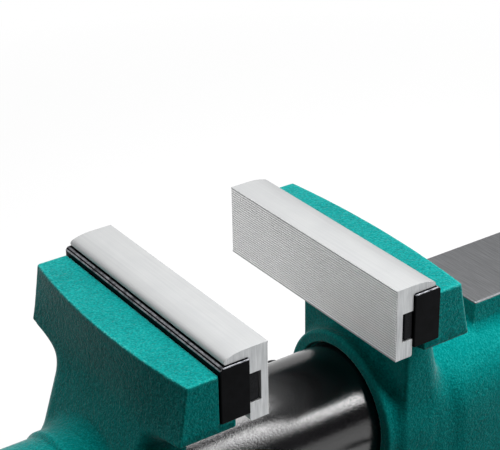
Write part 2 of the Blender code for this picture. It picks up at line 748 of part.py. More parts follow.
def make_nut(bronze, steel, dark, parent):
    axis = (0, 0, tube_axis_height)
    form = ring(nut_radius, screw_bore_radius, nut_front_y, nut_rear_y, middle_round)
    nut = piece("lead_nut", form, bronze, along_y, axis, parent)
    half = key_half_width + seat_gap
    cut(nut, block((-half, nut_front_y - cut_overrun, tube_axis_height - nut_radius - cut_overrun),
                   (half, nut_rear_y + cut_overrun, nut_keyway_z)))
    middle_y = (nut_front_y + nut_rear_y) / 2
    stem_top_z = nut_keyway_z - seat_gap
    flange_middle_z = key_flange_bottom_z + key_flange_thickness / 2
    stem = block((-key_half_width, nut_front_y, flange_middle_z), (key_half_width, nut_rear_y, stem_top_z))
    key = piece("nut_key", stem, steel, parent=parent, smooth=False)
    join(key, block((-key_flange_half_width, nut_front_y, key_flange_bottom_z),
                    (key_flange_half_width, nut_rear_y, key_flange_top_z)))
    bolt_ys = [middle_y - key_bolt_spacing / 2, middle_y + key_bolt_spacing / 2]
    bolt_top_z = nut_keyway_z + key_bolt_engagement
    hole_radius = key_bolt_radius + screw_hole_clearance
    low = key_flange_bottom_z - cut_overrun
    for holed, high in ((key, stem_top_z + cut_overrun), (nut, bolt_top_z + seat_gap)):
        holes = [moved(rod(hole_radius, low, high, tiny_round), (0, y, 0)) for y in bolt_ys]
        cut(holed, together(holes))
    head_top_z = key_flange_bottom_z - seat_gap
    head_bottom = head_top_z - key_bolt_head_height
    for name, y in zip(("nut_key_bolt_front", "nut_key_bolt_rear"), bolt_ys):
        outline = [(0, head_bottom), (key_bolt_head_radius, head_bottom),
                   (key_bolt_head_radius, head_top_z), (key_bolt_radius, head_top_z),
                   (key_bolt_radius, bolt_top_z), (0, bolt_top_z)]
        bolt = piece(name, turned(outline, tiny_round), dark, place=(0, y, 0), parent=parent)
        socket = hex_socket(socket_radius, head_bottom - cut_overrun, head_bottom + socket_depth)
        cut(bolt, socket, place=(0, y, 0))


def make_jaw_plate(name, seat_y, side, finish, screw_finish, parent):
    """A jaw plate and its two socket screws, side +1 where depth runs towards +Y."""
    back = seat_y - side * seat_gap
    front = back - side * plate_thickness
    half = plate_length / 2
    outline = [(back, plate_bottom_z + plate_edge), (back - side * plate_edge, plate_bottom_z),
               (front + side * plate_edge, plate_bottom_z), (front, plate_bottom_z + plate_edge),
               (front, plate_top_z - plate_edge), (front + side * plate_edge, plate_top_z),
               (back - side * plate_top_chamfer, plate_top_z), (back, plate_top_z - plate_top_chamfer)]
    form = loft([[(x, y, z) for y, z in outline] for x in (-half, half)])
    plate = piece(f"jaw_plate_{name}", form, finish, parent=parent, smooth=False)
    turn = along_y if side > 0 else toward_minus_y
    head_start = seat_gap
    head_end = head_start + plate_screw_head_height
    hole_radius = plate_screw_radius + screw_hole_clearance
    pocket_radius = plate_screw_head_radius + screw_hole_clearance
    pocket_end = head_end + seat_gap
    through = plate_thickness + cut_overrun
    outline = [(0, -cut_overrun), (pocket_radius, -cut_overrun), (pocket_radius, pocket_end),
               (hole_radius, pocket_end), (hole_radius, through), (0, through)]
    xs = (-plate_screw_spacing / 2, plate_screw_spacing / 2)
    holes = [moved(turned(outline, small_round), (x, front, plate_screw_z), turn) for x in xs]
    cut(plate, together(holes))
    tip = plate_thickness + seat_gap + plate_screw_grip
    for word, x in zip(("left", "right"), xs):
        outline = [(0, head_start), (plate_screw_head_radius, head_start),
                   (plate_screw_head_radius, head_end), (plate_screw_radius, head_end),
                   (plate_screw_radius, tip), (0, tip)]
        place = (x, front, plate_screw_z)
        screw = piece(f"jaw_plate_screw_{name}_{word}", turned(outline, small_round), screw_finish,
                      turn, place, parent)
        cut(screw, hex_socket(socket_radius, -cut_overrun, head_start + socket_depth), turn, place)


def make_soft_jaw(name, face_y, side, finish, magnet_finish, parent):
    """An extruded soft jaw and the magnet strip in its back."""
    bottom_z = jaw_top_z - soft_jaw_height
    slot_top_z = jaw_top_z - magnet_slot_from_top
    slot_bottom_z = slot_top_z - magnet_slot_height
    under_flange_z = jaw_top_z - soft_jaw_flange_thickness
    outline = [(soft_jaw_edge, bottom_z), (0, bottom_z + soft_jaw_edge),
               (0, jaw_top_z - soft_jaw_edge), (soft_jaw_edge, jaw_top_z)]
    for step in range(curve_steps + 1):
        share = step / curve_steps
        outline.append((mix(soft_jaw_flat_depth, soft_jaw_depth, share),
                        jaw_top_z - soft_jaw_tip_drop * share ** 2))
    outline += [(soft_jaw_depth, under_flange_z), (soft_jaw_face_thickness, under_flange_z),
                (soft_jaw_face_thickness, slot_top_z), (magnet_slot_front_wall, slot_top_z),
                (magnet_slot_front_wall, slot_bottom_z), (soft_jaw_face_thickness, slot_bottom_z),
                (soft_jaw_face_thickness, bottom_z)]
    half = jaw_length / 2
    form = loft([[(x, side * depth, z - jaw_top_z) for depth, z in outline] for x in (-half, half)])
    piece(f"soft_jaw_{name}", form, finish, place=(0, face_y, jaw_top_z), parent=parent, smooth=False)
    back = side * soft_jaw_face_thickness
    front = back - side * magnet_thickness
    half = magnet_length / 2
    low = (-half, min(front, back), slot_bottom_z - jaw_top_z + magnet_slot_clearance)
    high = (half, max(front, back), slot_top_z - jaw_top_z - magnet_slot_clearance)
    place = (0, face_y, jaw_top_z)
    piece(f"magnet_strip_{name}", block(low, high), magnet_finish, place=place, parent=parent, smooth=False)


def make_swivel_base(finish):
    edge = base_radius - base_edge
    lip_z = base_height - slot_lip_thickness
    channel_in = lug_offset - slot_channel_half_width
    channel_out = lug_offset + slot_channel_half_width
    socket = spigot_radius + seat_gap
    outline = [(0, 0), (edge, 0), (base_radius, base_edge), (base_radius, base_height - base_edge),
               (edge, base_height), (slot_outer_radius, base_height), (slot_outer_radius, lip_z),
               (channel_out, lip_z), (channel_out, slot_floor_height), (channel_in, slot_floor_height),
               (channel_in, lip_z), (slot_inner_radius, lip_z), (slot_inner_radius, base_height),
               (socket, base_height), (socket, socket_floor_height), (0, socket_floor_height)]
    base = piece("swivel_base", turned(outline, large_round), finish)
    ears = []
    holes = []
    for index in range(ear_count):
        turn = Matrix.Rotation(math.tau * (index + 0.5) / ear_count, 4, "Z")
        tongue = arc((ear_centre_radius, 0), ear_radius, -90, 90, 2 * corner_steps)
        root = channel_out + base_edge
        tongue = [(root, -ear_root_half_width)] + tongue + [(root, ear_root_half_width)]
        ears.append(moved(prism(tongue, 0, ear_height), (0, 0, 0), turn))
        hole = rod(ear_hole_radius, -cut_overrun, ear_height + cut_overrun, small_round)
        holes.append(moved(moved(hole, (ear_centre_radius, 0, 0)), (0, 0, 0), turn))
    entry = rod(slot_entry_radius, lip_z - base_edge, base_height + cut_overrun, small_round)
    holes.append(moved(entry, (0, lug_offset, 0)))
    join(base, together(ears))
    cut(base, together(holes))


def make_lock(name, side, steel, dark, parent, lever_parent):
    """A lock bolt, its washer and its lever nut on one lug of the foot."""
    x = side * lug_offset
    bolt_top_z = lever_hub_z + lever_hub_height + lock_bolt_proud
    head_low = lock_head_top_z - lock_head_thickness
    shank = rod(lock_bolt_radius, head_low + lock_head_thickness / 2, bolt_top_z, small_round)
    bolt = piece(f"lock_bolt_{name}", shank, steel, place=(x, 0, 0), parent=parent)
    join(bolt, block((x - lock_head_half_width, -lock_head_half_length, head_low),
                     (x + lock_head_half_width, lock_head_half_length, lock_head_top_z)))
    washer_low = foot_top_z + seat_gap
    bore = lock_bolt_radius + lock_slot_clearance
    washer = ring(washer_radius, bore, washer_low, washer_low + washer_thickness, small_round)
    piece(f"lock_washer_{name}", washer, steel, place=(x, 0, 0), parent=parent)
    hub_top_z = lever_hub_z + lever_hub_height
    hub = ring(lever_hub_radius, bore, lever_hub_z, hub_top_z, small_round, lever_hub_edge)
    lever = piece(f"lock_lever_{name}", hub, dark, place=(x, 0, 0), parent=lever_parent)
    arm_z = lever_hub_z + lever_hub_height / 2
    length = lever_reach / math.cos(lever_rise_angle)
    start = lever_arm_start / math.cos(lever_rise_angle)
    outline = [(0, start), (lever_arm_root_radius, start), (lever_arm_tip_radius, length), (0, length)]
    heading = lever_rest_angle if side > 0 else math.pi - lever_rest_angle
    lean_angle = math.radians(90) - lever_rise_angle
    lean = Matrix.Rotation(heading, 4, "Z") @ Matrix.Rotation(lean_angle, 4, "Y")
    join(lever, turned(outline, tiny_round), lean, (x, 0, arm_z))
    ball = bmesh.new()
    bmesh.ops.create_uvsphere(ball, u_segments=small_round, v_segments=small_round // 2,
                              radius=lever_ball_radius)
    tip = Vector((x, 0, arm_z)) + lean @ Vector((0, 0, length))
    join(lever, ball, lean, tip)


def main():
    clear_scene()
    enamel = material("teal_enamel", (0.008, 0.270, 0.250), 0.38, 0.0)
    tube_steel = material("drawn_tube_steel", (0.110, 0.110, 0.120), 0.30, 1.0)
    black_steel = material("black_oxide_steel", (0.020, 0.020, 0.022), 0.45, 0.6)
    bright_steel = material("turned_steel", (0.500, 0.500, 0.510), 0.30, 1.0)
    aluminium = material("extruded_aluminium", (0.780, 0.790, 0.800), 0.35, 1.0)
    magnet = material("magnet_strip", (0.030, 0.030, 0.032), 0.60, 0.0)
    bronze = material("cast_bronze", (0.450, 0.280, 0.110), 0.40, 1.0)
    plastic = material("black_plastic", (0.025, 0.025, 0.027), 0.50, 0.0)

    axis = (0, 0, tube_axis_height)
    swivel = axis_empty("swivel_axis", (0, 0, 0))
    slide = axis_empty("slide_axis", axis, swivel)
    turning = axis_empty("screw_axis", axis, slide)
    bar = axis_empty("bar_axis", (0, bar_y, tube_axis_height), turning)
    lift_fixed = axis_empty("soft_jaw_fixed_lift", (0, fixed_face_y, jaw_top_z), swivel)
    lift_moving = axis_empty("soft_jaw_moving_lift", (0, moving_face_y, jaw_top_z), slide)

    make_swivel_base(enamel)
    make_fixed_body(enamel, swivel)
    make_moving_jaw(enamel, slide)
    make_slide_tube(tube_steel, slide)
    make_tube_fittings(black_steel, plastic, slide)
    make_thrust_washer(bronze, slide)
    make_lead_screw(black_steel, bright_steel, turning)
    make_handle(bright_steel, bar)
    make_nut(bronze, bright_steel, black_steel, swivel)
    make_jaw_plate("fixed", fixed_seat_y, 1, black_steel, black_steel, swivel)
    make_jaw_plate("moving", moving_seat_y, -1, black_steel, black_steel, slide)
    make_soft_jaw("fixed", fixed_face_y, 1, aluminium, magnet, lift_fixed)
    make_soft_jaw("moving", moving_face_y, -1, aluminium, magnet, lift_moving)
    for name, side in (("left", -1), ("right", 1)):
        lever_axis = axis_empty(f"lock_axis_{name}", (side * lug_offset, 0, lever_hub_z), swivel)
        make_lock(name, side, bright_steel, black_steel, swivel, lever_axis)
    print(f"slide travel: {-opening_travel:.4f} to {closing_travel:.4f} m")
    print(f"bar slide: {bar_half_length - screw_head_radius:.4f} m each way")


main()
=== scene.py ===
import math
from functools import reduce
from itertools import product

import bmesh
import bpy
import numpy as np
from mathutils import Matrix, Vector


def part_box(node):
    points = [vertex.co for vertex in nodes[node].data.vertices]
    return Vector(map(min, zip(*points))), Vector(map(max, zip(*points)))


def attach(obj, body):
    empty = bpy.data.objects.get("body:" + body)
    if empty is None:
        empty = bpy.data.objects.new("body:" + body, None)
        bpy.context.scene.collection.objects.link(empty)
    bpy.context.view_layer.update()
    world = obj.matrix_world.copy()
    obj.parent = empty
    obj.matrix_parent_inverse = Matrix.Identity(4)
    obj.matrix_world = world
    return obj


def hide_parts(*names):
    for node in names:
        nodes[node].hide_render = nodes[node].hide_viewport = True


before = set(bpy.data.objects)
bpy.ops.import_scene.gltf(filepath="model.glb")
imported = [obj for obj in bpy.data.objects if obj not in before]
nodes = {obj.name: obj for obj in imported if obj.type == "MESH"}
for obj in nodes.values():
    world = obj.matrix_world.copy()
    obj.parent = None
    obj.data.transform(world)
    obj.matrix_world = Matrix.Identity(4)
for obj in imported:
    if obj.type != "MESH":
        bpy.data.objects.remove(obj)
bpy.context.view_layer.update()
mm = 0.001

# places that several pieces share, in millimetres, the same as in the solids
vise = {
    "axisZ": 105.0, "fixedSeatY": -75.2, "movingSeatY": -188.8, "fixedFaceY": -99.0, "movingFaceY": -165.0,
    "headBottomZ": 168.6, "ledgeTopZ": 172.8, "halfJaw": 62.5, "tubeRadius": 31.75, "boreRadius": 32.05,
    "lugX": 66.0, "screwX": 38.0, "plateScrewZ": 186.1, "collarPinY": -244.5, "collarPinHole": 2.8,
}


def linearColour(hexCode):
    parts = [int(hexCode[k:k + 2], 16) / 255 for k in (0, 2, 4)]
    return tuple(c / 12.92 if c <= 0.04045 else ((c + 0.055) / 1.055) ** 2.4 for c in parts) + (1.0,)


def addNode(tree, kind, inputs=None, **settings):
    made = tree.nodes.new(kind)
    for key, value in settings.items():
        setattr(made, key, value)
    for key, value in (inputs or {}).items():
        if isinstance(value, bpy.types.NodeSocket):
            tree.links.new(value, made.inputs[key])
        else:
            made.inputs[key].default_value = value
    return made


def newMaterial(name):
    made = bpy.data.materials.new(name)
    made.use_nodes = True
    made.node_tree.nodes.clear()
    return made, made.node_tree, addNode(made.node_tree, "ShaderNodeTexCoord").outputs["Object"]


def closeMaterial(tree, shader):
    addNode(tree, "ShaderNodeOutputMaterial", {"Surface": shader.outputs[0]})


def ramp(tree, factor, stops):
    made = addNode(tree, "ShaderNodeValToRGB", {"Fac": factor})
    elements = made.color_ramp.elements
    while len(elements) < len(stops):
        elements.new(0.5)
    for element, (place, hexCode) in zip(elements, stops):
        element.position = place
        element.color = linearColour(hexCode)
    return made


# marks drawn out along the axes that have the lower stretch
def drawnLines(tree, place, stretch, detail, roughness=0.5):
    drawn = addNode(tree, "ShaderNodeMapping", {"Vector": place, "Scale": stretch})
    return addNode(tree, "ShaderNodeTexNoise", {
        "Vector": drawn.outputs[0], "Scale": 1.0, "Detail": detail, "Roughness": roughness}).outputs["Fac"]


# teal enamel on sand-cast iron: a hard thin film over a grainy skin, its grain painted in light and dark teal;
# the bright points on the grains are painted highlights, the lighter outer edges are painted highlight with some
# wear, and the darker fillets are painted shade with some pooled paint;
# the sand's grain is 0.3 to 0.5 mm and is drawn at 0.9 mm, because a finer one doesn't show in the picture;
# the film's IOR is well below that of paint, matched to how little of the pale floor the real one shows
def makeEnamel():
    made, tree, place = newMaterial("tealEnamel")
    grain = addNode(tree, "ShaderNodeTexNoise", {"Vector": place, "Scale": 1 / (0.9 * mm), "Detail": 2.0,
                                                 "Roughness": 0.6})
    peel = addNode(tree, "ShaderNodeTexNoise", {"Vector": place, "Scale": 1 / (2.4 * mm), "Detail": 2.0,
                                                "Distortion": 0.6})
    swell = addNode(tree, "ShaderNodeTexNoise", {"Vector": place, "Scale": 1 / (24 * mm), "Detail": 2.0})
    # ridge makes the teal lighter on outer edges, painted highlight with some wear, and darker in fillets, painted
    # shade with some pooled paint
    ridge = addNode(tree, "ShaderNodeAttribute", attribute_name="ridge").outputs["Fac"]
    tone = addNode(tree, "ShaderNodeMath", {0: swell.outputs["Fac"], 1: 0.12}, operation="MULTIPLY")
    tone = addNode(tree, "ShaderNodeMath", {0: ridge, 1: 0.12, 2: tone.outputs[0]}, operation="MULTIPLY_ADD")
    # the grain's pale points, which weigh most in the tone, are painted highlights
    tone = addNode(tree, "ShaderNodeMath", {0: grain.outputs["Fac"], 1: 0.42, 2: tone.outputs[0]},
                   operation="MULTIPLY_ADD")
    colour = ramp(tree, tone.outputs[0], [
        (0.13, "00625f"), (0.27, "008986"), (0.39, "1ca39e"), (0.51, "62c4bf")])
    height = addNode(tree, "ShaderNodeMath", {0: peel.outputs["Fac"], 1: 1.6}, operation="MULTIPLY")
    height = addNode(tree, "ShaderNodeMath", {0: grain.outputs["Fac"], 1: height.outputs[0]})
    bump = addNode(tree, "ShaderNodeBump", {"Height": height.outputs[0], "Strength": 0.9, "Distance": 0.34 * mm})
    gloss = addNode(tree, "ShaderNodeMapRange", {"Value": peel.outputs["Fac"], "From Min": 0.3, "From Max": 0.7,
                                                 "To Min": 0.15, "To Max": 0.26})
    shader = addNode(tree, "ShaderNodeBsdfPrincipled", {
        "Base Color": colour.outputs["Color"], "Roughness": gloss.outputs["Result"], "IOR": 1.05,
        "Specular Tint": linearColour("7fded8"), "Sheen Weight": 0.28, "Sheen Roughness": 0.36,
        "Normal": bump.outputs["Normal"]})
    return made, tree, shader, place


groundAnvil = {"top": 151.55, "fadeHalf": 0.1, "front": -30.0, "edgeWander": 0.5}


# the same film with the anvil's top ground bare after painting: grey iron with parallel grinding lines, which are
# drawn 0.6 mm apart, coarser than the real ones, so that they show
def enamelWithGroundAnvil():
    a = groundAnvil
    made, tree, shader, place = makeEnamel()
    made.name = "tealEnamelGroundAnvil"
    parts = addNode(tree, "ShaderNodeSeparateXYZ", {"Vector": place})
    edge = addNode(tree, "ShaderNodeTexNoise", {"Vector": place, "Scale": 1 / (3 * mm), "Detail": 3.0})
    level = addNode(tree, "ShaderNodeMath", {0: edge.outputs["Fac"], 1: -a["edgeWander"] * mm, 2: parts.outputs["Z"]},
                    operation="MULTIPLY_ADD")
    bare = addNode(tree, "ShaderNodeMapRange", {
        "Value": level.outputs[0], "From Min": (a["top"] - a["fadeHalf"]) * mm,
        "From Max": (a["top"] + a["fadeHalf"]) * mm})
    front = addNode(tree, "ShaderNodeMath", {0: parts.outputs["Y"], 1: a["front"] * mm}, operation="GREATER_THAN")
    bare = addNode(tree, "ShaderNodeMath", {0: bare.outputs["Result"], 1: front.outputs[0]}, operation="MULTIPLY")
    scratch = drawnLines(tree, place, (60, 1800, 60), 4.0, 0.7)
    grey = ramp(tree, scratch, [(0.30, "6c6d6f"), (0.70, "8c8d8f")])
    bump = addNode(tree, "ShaderNodeBump", {"Height": scratch, "Strength": 0.6, "Distance": 0.05 * mm})
    iron = addNode(tree, "ShaderNodeBsdfPrincipled", {
        "Base Color": grey.outputs["Color"], "Metallic": 1.0, "Roughness": 0.42, "Normal": bump.outputs["Normal"]})
    shader = addNode(tree, "ShaderNodeMixShader", {0: bare.outputs[0], 1: shader.outputs[0], 2: iron.outputs[0]})
    closeMaterial(tree, shader)
    return made


# drawn steel tube, phosphated black and oiled: a glassy dark film over a grainy skin, drawn lines along the slide;
# the phosphate's crystals are far below 0.1 mm and are drawn as a 0.9 mm grain, the lines 1.1 mm apart, to show
def makeTubeSteel():
    made, tree, place = newMaterial("phosphatedTubeSteel")
    lines = drawnLines(tree, place, (900, 90, 900), 4.0, 0.65)
    grain = addNode(tree, "ShaderNodeTexNoise", {"Vector": place, "Scale": 1 / (0.9 * mm), "Detail": 3.0,
                                                 "Roughness": 0.6})
    cloud = addNode(tree, "ShaderNodeTexNoise", {"Vector": place, "Scale": 1 / (16 * mm), "Detail": 3.0})
    mixed = addNode(tree, "ShaderNodeMath", {0: lines, 1: 0.4, 2: grain.outputs["Fac"]}, operation="MULTIPLY_ADD")
    patchy = addNode(tree, "ShaderNodeMath", {0: cloud.outputs["Fac"], 1: 0.8, 2: mixed.outputs[0]},
                     operation="MULTIPLY_ADD")
    colour = ramp(tree, patchy.outputs[0], [(0.80, "060708"), (1.35, "1c1c1e")])
    bump = addNode(tree, "ShaderNodeBump", {"Height": grain.outputs["Fac"], "Strength": 0.7, "Distance": 0.08 * mm})
    rough = addNode(tree, "ShaderNodeMapRange", {"Value": grain.outputs["Fac"], "From Min": 0.35, "From Max": 0.65,
                                                 "To Min": 0.10, "To Max": 0.24})
    shader = addNode(tree, "ShaderNodeBsdfPrincipled", {
        "Base Color": colour.outputs["Color"], "Roughness": rough.outputs["Result"], "Specular IOR Level": 0.9,
        "Normal": bump.outputs["Normal"]})
    closeMaterial(tree, shader)
    return made


# a finish whose colour follows one noise, and whose relief follows drawn lines or else the same noise
def makeFinish(name, cloud, stops, relief, marks, shading, gloss=None):
    made, tree, place = newMaterial(name)
    tone = addNode(tree, "ShaderNodeTexNoise", {"Vector": place, **cloud}).outputs["Fac"]
    colour = ramp(tree, tone, stops)
    lines = drawnLines(tree, place, *marks) if marks else tone
    bump = addNode(tree, "ShaderNodeBump", {"Height": lines, "Strength": relief[0], "Distance": relief[1] * mm})
    if gloss:
        rough = addNode(tree, "ShaderNodeMapRange", {"Value": tone, "To Min": gloss[0], "To Max": gloss[1]})
        shading = {**shading, "Roughness": rough.outputs["Result"]}
    shader = addNode(tree, "ShaderNodeBsdfPrincipled", {
        "Base Color": colour.outputs["Color"], "Normal": bump.outputs["Normal"], **shading})
    closeMaterial(tree, shader)
    return made


# turned bright steel: silvery, with fine circular tool marks about its axis, drawn 0.7 mm apart so that they show
def makeTurnedSteel(name, stretch, dark, pale):
    return makeFinish(name, {"Scale": 1 / (9 * mm), "Detail": 3.0}, [(0.35, dark), (0.65, pale)], (0.2, 0.004),
                      (stretch, 3.0, 0.6), {"Metallic": 1.0}, (0.27, 0.33))


# extruded aluminium: pale satin metal with die lines along its length, drawn 0.9 mm apart so that they show
def makeAluminium(name, dark, pale, stretch, roughness):
    made, tree, place = newMaterial(name)
    lines = drawnLines(tree, place, stretch, 4.0, 0.6)
    cloud = addNode(tree, "ShaderNodeTexNoise", {"Vector": place, "Scale": 1 / (14 * mm), "Detail": 2.0})
    mixed = addNode(tree, "ShaderNodeMath", {0: cloud.outputs["Fac"], 1: 0.5, 2: lines}, operation="MULTIPLY_ADD")
    colour = ramp(tree, mixed.outputs[0], [(0.55, dark), (0.95, pale)])
    bump = addNode(tree, "ShaderNodeBump", {"Height": lines, "Strength": 0.16, "Distance": 0.03 * mm})
    shader = addNode(tree, "ShaderNodeBsdfPrincipled", {
        "Base Color": colour.outputs["Color"], "Metallic": 1.0, "Roughness": roughness,
        "Normal": bump.outputs["Normal"]})
    closeMaterial(tree, shader)
    return made


enamel, tree, shader, place = makeEnamel()
closeMaterial(tree, shader)
enamelAnvil = enamelWithGroundAnvil()
tubeSteel = makeTubeSteel()
# black-oxide steel: a thin matt black conversion coat that shows the machining below it, lines drawn 0.7 mm apart
blackOxide = makeFinish("blackOxideSteel", {"Scale": 1 / (5 * mm), "Detail": 4.0},
                        [(0.35, "060709"), (0.70, "101114")], (0.4, 0.04), ((150, 1500, 1500), 3.0),
                        {"Roughness": 0.42, "IOR": 1.12})
# painted highlight: a thin pale grey line on the black steel's bevels, standing in for the light that these edges
# catch
edgeHighlightPaint = makeFinish("blackOxideEdgePaintedHighlight", {"Scale": 1 / (3 * mm), "Detail": 4.0, "Roughness": 0.7},
                        [(0.38, "505156"), (0.60, "a0a1a6")], (0.3, 0.04), None, {"Metallic": 0.8, "Roughness": 0.38})
turnedAlongY = makeTurnedSteel("turnedSteelScrew", (60, 1400, 60), "a8a9ac", "b8b9bb")
turnedAlongX = makeTurnedSteel("turnedSteelHandle", (1400, 60, 60), "b2b3b6", "c0c1c3")
turnedAlongZ = makeTurnedSteel("zincPlatedSteel", (60, 60, 1400), "abadaf", "bbbdbe")
aluminium = makeAluminium("extrudedAluminium", "bcbdbe", "c3c4c4", (18, 1100, 1100), 0.70)
sawnAluminium = makeAluminium("sawnAluminiumEnds", "aaacae", "c8cacb", (900, 1500, 90), 0.50)
# a much lighter copy of the same aluminium for the ribbed face: painted light that brightens this face
ribbedAluminiumPaintedLight = makeAluminium("ribbedAluminiumFacePaintedLight", "f0f0f0", "f6f6f6", (18, 60, 60), 0.60)
# bonded ferrite strip: matt charcoal, slightly speckled with magnet powder
magnet = makeFinish("bondedMagnetStrip", {"Scale": 1 / (0.6 * mm), "Detail": 3.0},
                    [(0.35, "0d0e10"), (0.70, "232427")], (0.4, 0.04), None, {"Roughness": 0.55, "IOR": 1.2})
# machined bronze: warm yellow-brown metal with tool marks
bronze = makeFinish("machinedBronze", {"Scale": 1 / (6 * mm), "Detail": 4.0},
                    [(0.35, "8a6336"), (0.70, "c09a5c")], (0.3, 0.04), ((80, 2200, 80), 3.0),
                    {"Metallic": 1.0, "Roughness": 0.34})
# moulded black polyamide: low gloss with a fine spark-eroded texture, 0.5 mm
plastic = makeFinish("mouldedBlackPolyamide", {"Scale": 1 / (12 * mm), "Detail": 2.0},
                     [(0.3, "17181a"), (0.7, "202124")], (0.5, 0.03), ((2000, 2000, 2000), 2.0),
                     {"Roughness": 0.5})
print("materials made")


def far(a, b):
    return np.sqrt(a * a + b * b)


def both(*fields):  # inside every one of them
    return reduce(np.maximum, fields)


def either(*fields):  # inside any of them
    return reduce(np.minimum, fields)


def roundCut(a, b, radius):  # inside both, with the edge between them rounded
    a, b = a + radius, b + radius
    over, beside = np.maximum(a, 0), np.maximum(b, 0)
    return np.minimum(both(a, b), 0) + far(over, beside) - radius


def filletJoin(a, b, radius):  # inside either, with a cast fillet between them
    return -roundCut(-a, -b, radius)


def rodField(across, along, radius, low, high, edge):
    return roundCut(across - radius, np.abs(along - (low + high) / 2) - (high - low) / 2, edge)


def boxField(x, y, z, low, high, edge):
    sides = [np.abs(v - (a + b) / 2) - (b - a) / 2 + edge for v, a, b in zip((x, y, z), low, high)]
    outside = np.sqrt(sum(np.maximum(s, 0) ** 2 for s in sides))
    return outside + np.minimum(both(*sides), 0) - edge


def blendShare(share):
    share = np.clip(share, 0, 1)
    return share * share * (3 - 2 * share)


# what both jaws share: the head, and the neck that flares out and forwards below it
jawShape = {
    "headMiddleZ": 182.1, "headRise": 27.0, "headEdge": 0.9, "sideEdge": 1.2, "ledge": 7.9, "backHalf": 61.3,
    "backDrop": 1.5, "flareInset": 0.7, "flareStartZ": 151.6, "flareRise": 17.0, "flarePower": 3.5,
    "frontDepth": 2.2, "frontReach": 10.1, "frontStartZ": 154.8, "frontRise": 12.5, "frontSlope": 1.62,
    "neckCorner": 9.0, "cornerFade": 7.8, "frontCorner": 2.5, "frontFade": 1.5, "neckTopZ": 171.0,
}


# head and neck of a jaw, depth runs backwards from the plate's seat
def jawField(x, depth, z, form):
    j = jawShape
    wide = np.abs(x)
    up = np.clip((z - vise["headBottomZ"]) / j["headRise"], 0, 1)
    down = (vise["headBottomZ"] - j["backDrop"] - z) / (vise["headBottomZ"] - vise["axisZ"])
    down = np.minimum((down + np.sqrt(down * down + 0.012)) / 2, 1)  # no crease between head and neck
    end = form["depthBottom"] + (form["depthEnd"] - form["depthBottom"]) * up
    middle = form["depthBottom"] + (form["depthMiddle"] - form["depthBottom"]) * up
    back = middle + (end - middle) * np.clip(wide / j["backHalf"], 0, 1) ** 2
    behind = depth - (back + (form["depthAxis"] - form["depthBottom"]) * down)
    head = roundCut(wide - vise["halfJaw"], behind, j["sideEdge"])
    head = roundCut(head, np.abs(z - j["headMiddleZ"]) - j["headRise"] / 2, j["headEdge"])
    head = roundCut(head, -j["ledge"] - depth, j["headEdge"])
    share = np.clip((z - j["flareStartZ"]) / j["flareRise"], 0, 1)
    flare, power = vise["halfJaw"] - j["flareInset"] - form["neckHalf"], j["flarePower"]
    half = form["neckHalf"] + flare * share ** power
    side = (wide - half) / np.sqrt(1 + (flare * power / j["flareRise"] * share ** (power - 1)) ** 2)
    fade = np.clip((z - j["frontStartZ"]) / j["frontRise"], 0, 1)
    foot = np.clip((form["footStartZ"] - z) / form["footRise"], 0, 1)
    front = j["frontDepth"] - j["frontReach"] * fade ** 2 + form["footSetback"] * foot
    ahead = (front - depth) / np.sqrt(1 + (j["frontSlope"] * fade) ** 2)
    corner = j["neckCorner"] - j["cornerFade"] * share ** (power - 1)
    neck = roundCut(side + form["footTaper"] * foot, behind, corner)
    neck = roundCut(neck, ahead, j["frontCorner"] - j["frontFade"] * fade)
    return either(head, both(neck, z - j["neckTopZ"], form["neckBottomZ"] - z))


# milled seat of the jaw plate with its two tapped holes
def seatField(x, depth, z):
    seat = both(depth, vise["ledgeTopZ"] - z)
    across = far(np.abs(x) - vise["screwX"], z - vise["plateScrewZ"])
    return either(seat, rodField(across, depth, 4.3, -4.0, 11.3, 0.2))


fixedCasting = {
    "depthEnd": 12.6, "depthMiddle": 16.4, "depthBottom": 17.7, "depthAxis": 31.4, "neckHalf": 40.0,
    "footSetback": 14.8, "footStartZ": 73.0, "footRise": 45.7, "footTaper": 2.0, "neckBottomZ": 27.3,
    "collarRadius": 39.2, "collarFront": -81.8, "collarRear": -56.0, "collarEdge": 1.8, "collarFillet": 5.0,
    "barrelMiddleY": 10.5, "barrelHalf": 74.5, "barrelLow": 27.0, "barrelEdge": 3.0, "barrelFillet": 7.0,
    "anvilLow": (-24.0, -18.0, 128.0), "anvilHigh": (24.0, 56.0, 152.5), "anvilEdge": 0.9, "anvilFillet": 3.5,
    "footRadius": 70.0, "footLow": 22.3, "footHigh": 35.5, "footFillet": 6.0, "lugRadius": 15.5, "lugLow": 23.0,
    "lugHigh": 36.3, "lugHole": 6.3, "spigotRadius": 14.0, "spigotLow": 7.3, "mouthRadius": 33.2, "mouthRear": -78.8,
    "slotLow": (-8.3, -54.3, 40.0), "slotHigh": (8.3, -17.7, 100.0),
    "pocketLow": (-11.8, -54.5, 10.0), "pocketHigh": (11.8, -17.5, 56.0),
    "low": (-81.5, -83.1, 7.3), "high": (81.5, 85.0, 195.6), "step": 0.9, "triangles": 165000,
}


# the barrel widens behind the neck, and its deep lower half rises towards the rear
barrel = {"widenY": -64.0, "widenLength": 28.0, "half": 36.0, "widen": 7.5, "height": 36.2, "heighten": 1.8,
          "riseY": 48.0, "riseLength": 24.0, "depth": 74.7, "rearDepth": 38.0, "upperPower": 2.5, "lowerPower": 7.0,
          "tilt": 2.3}


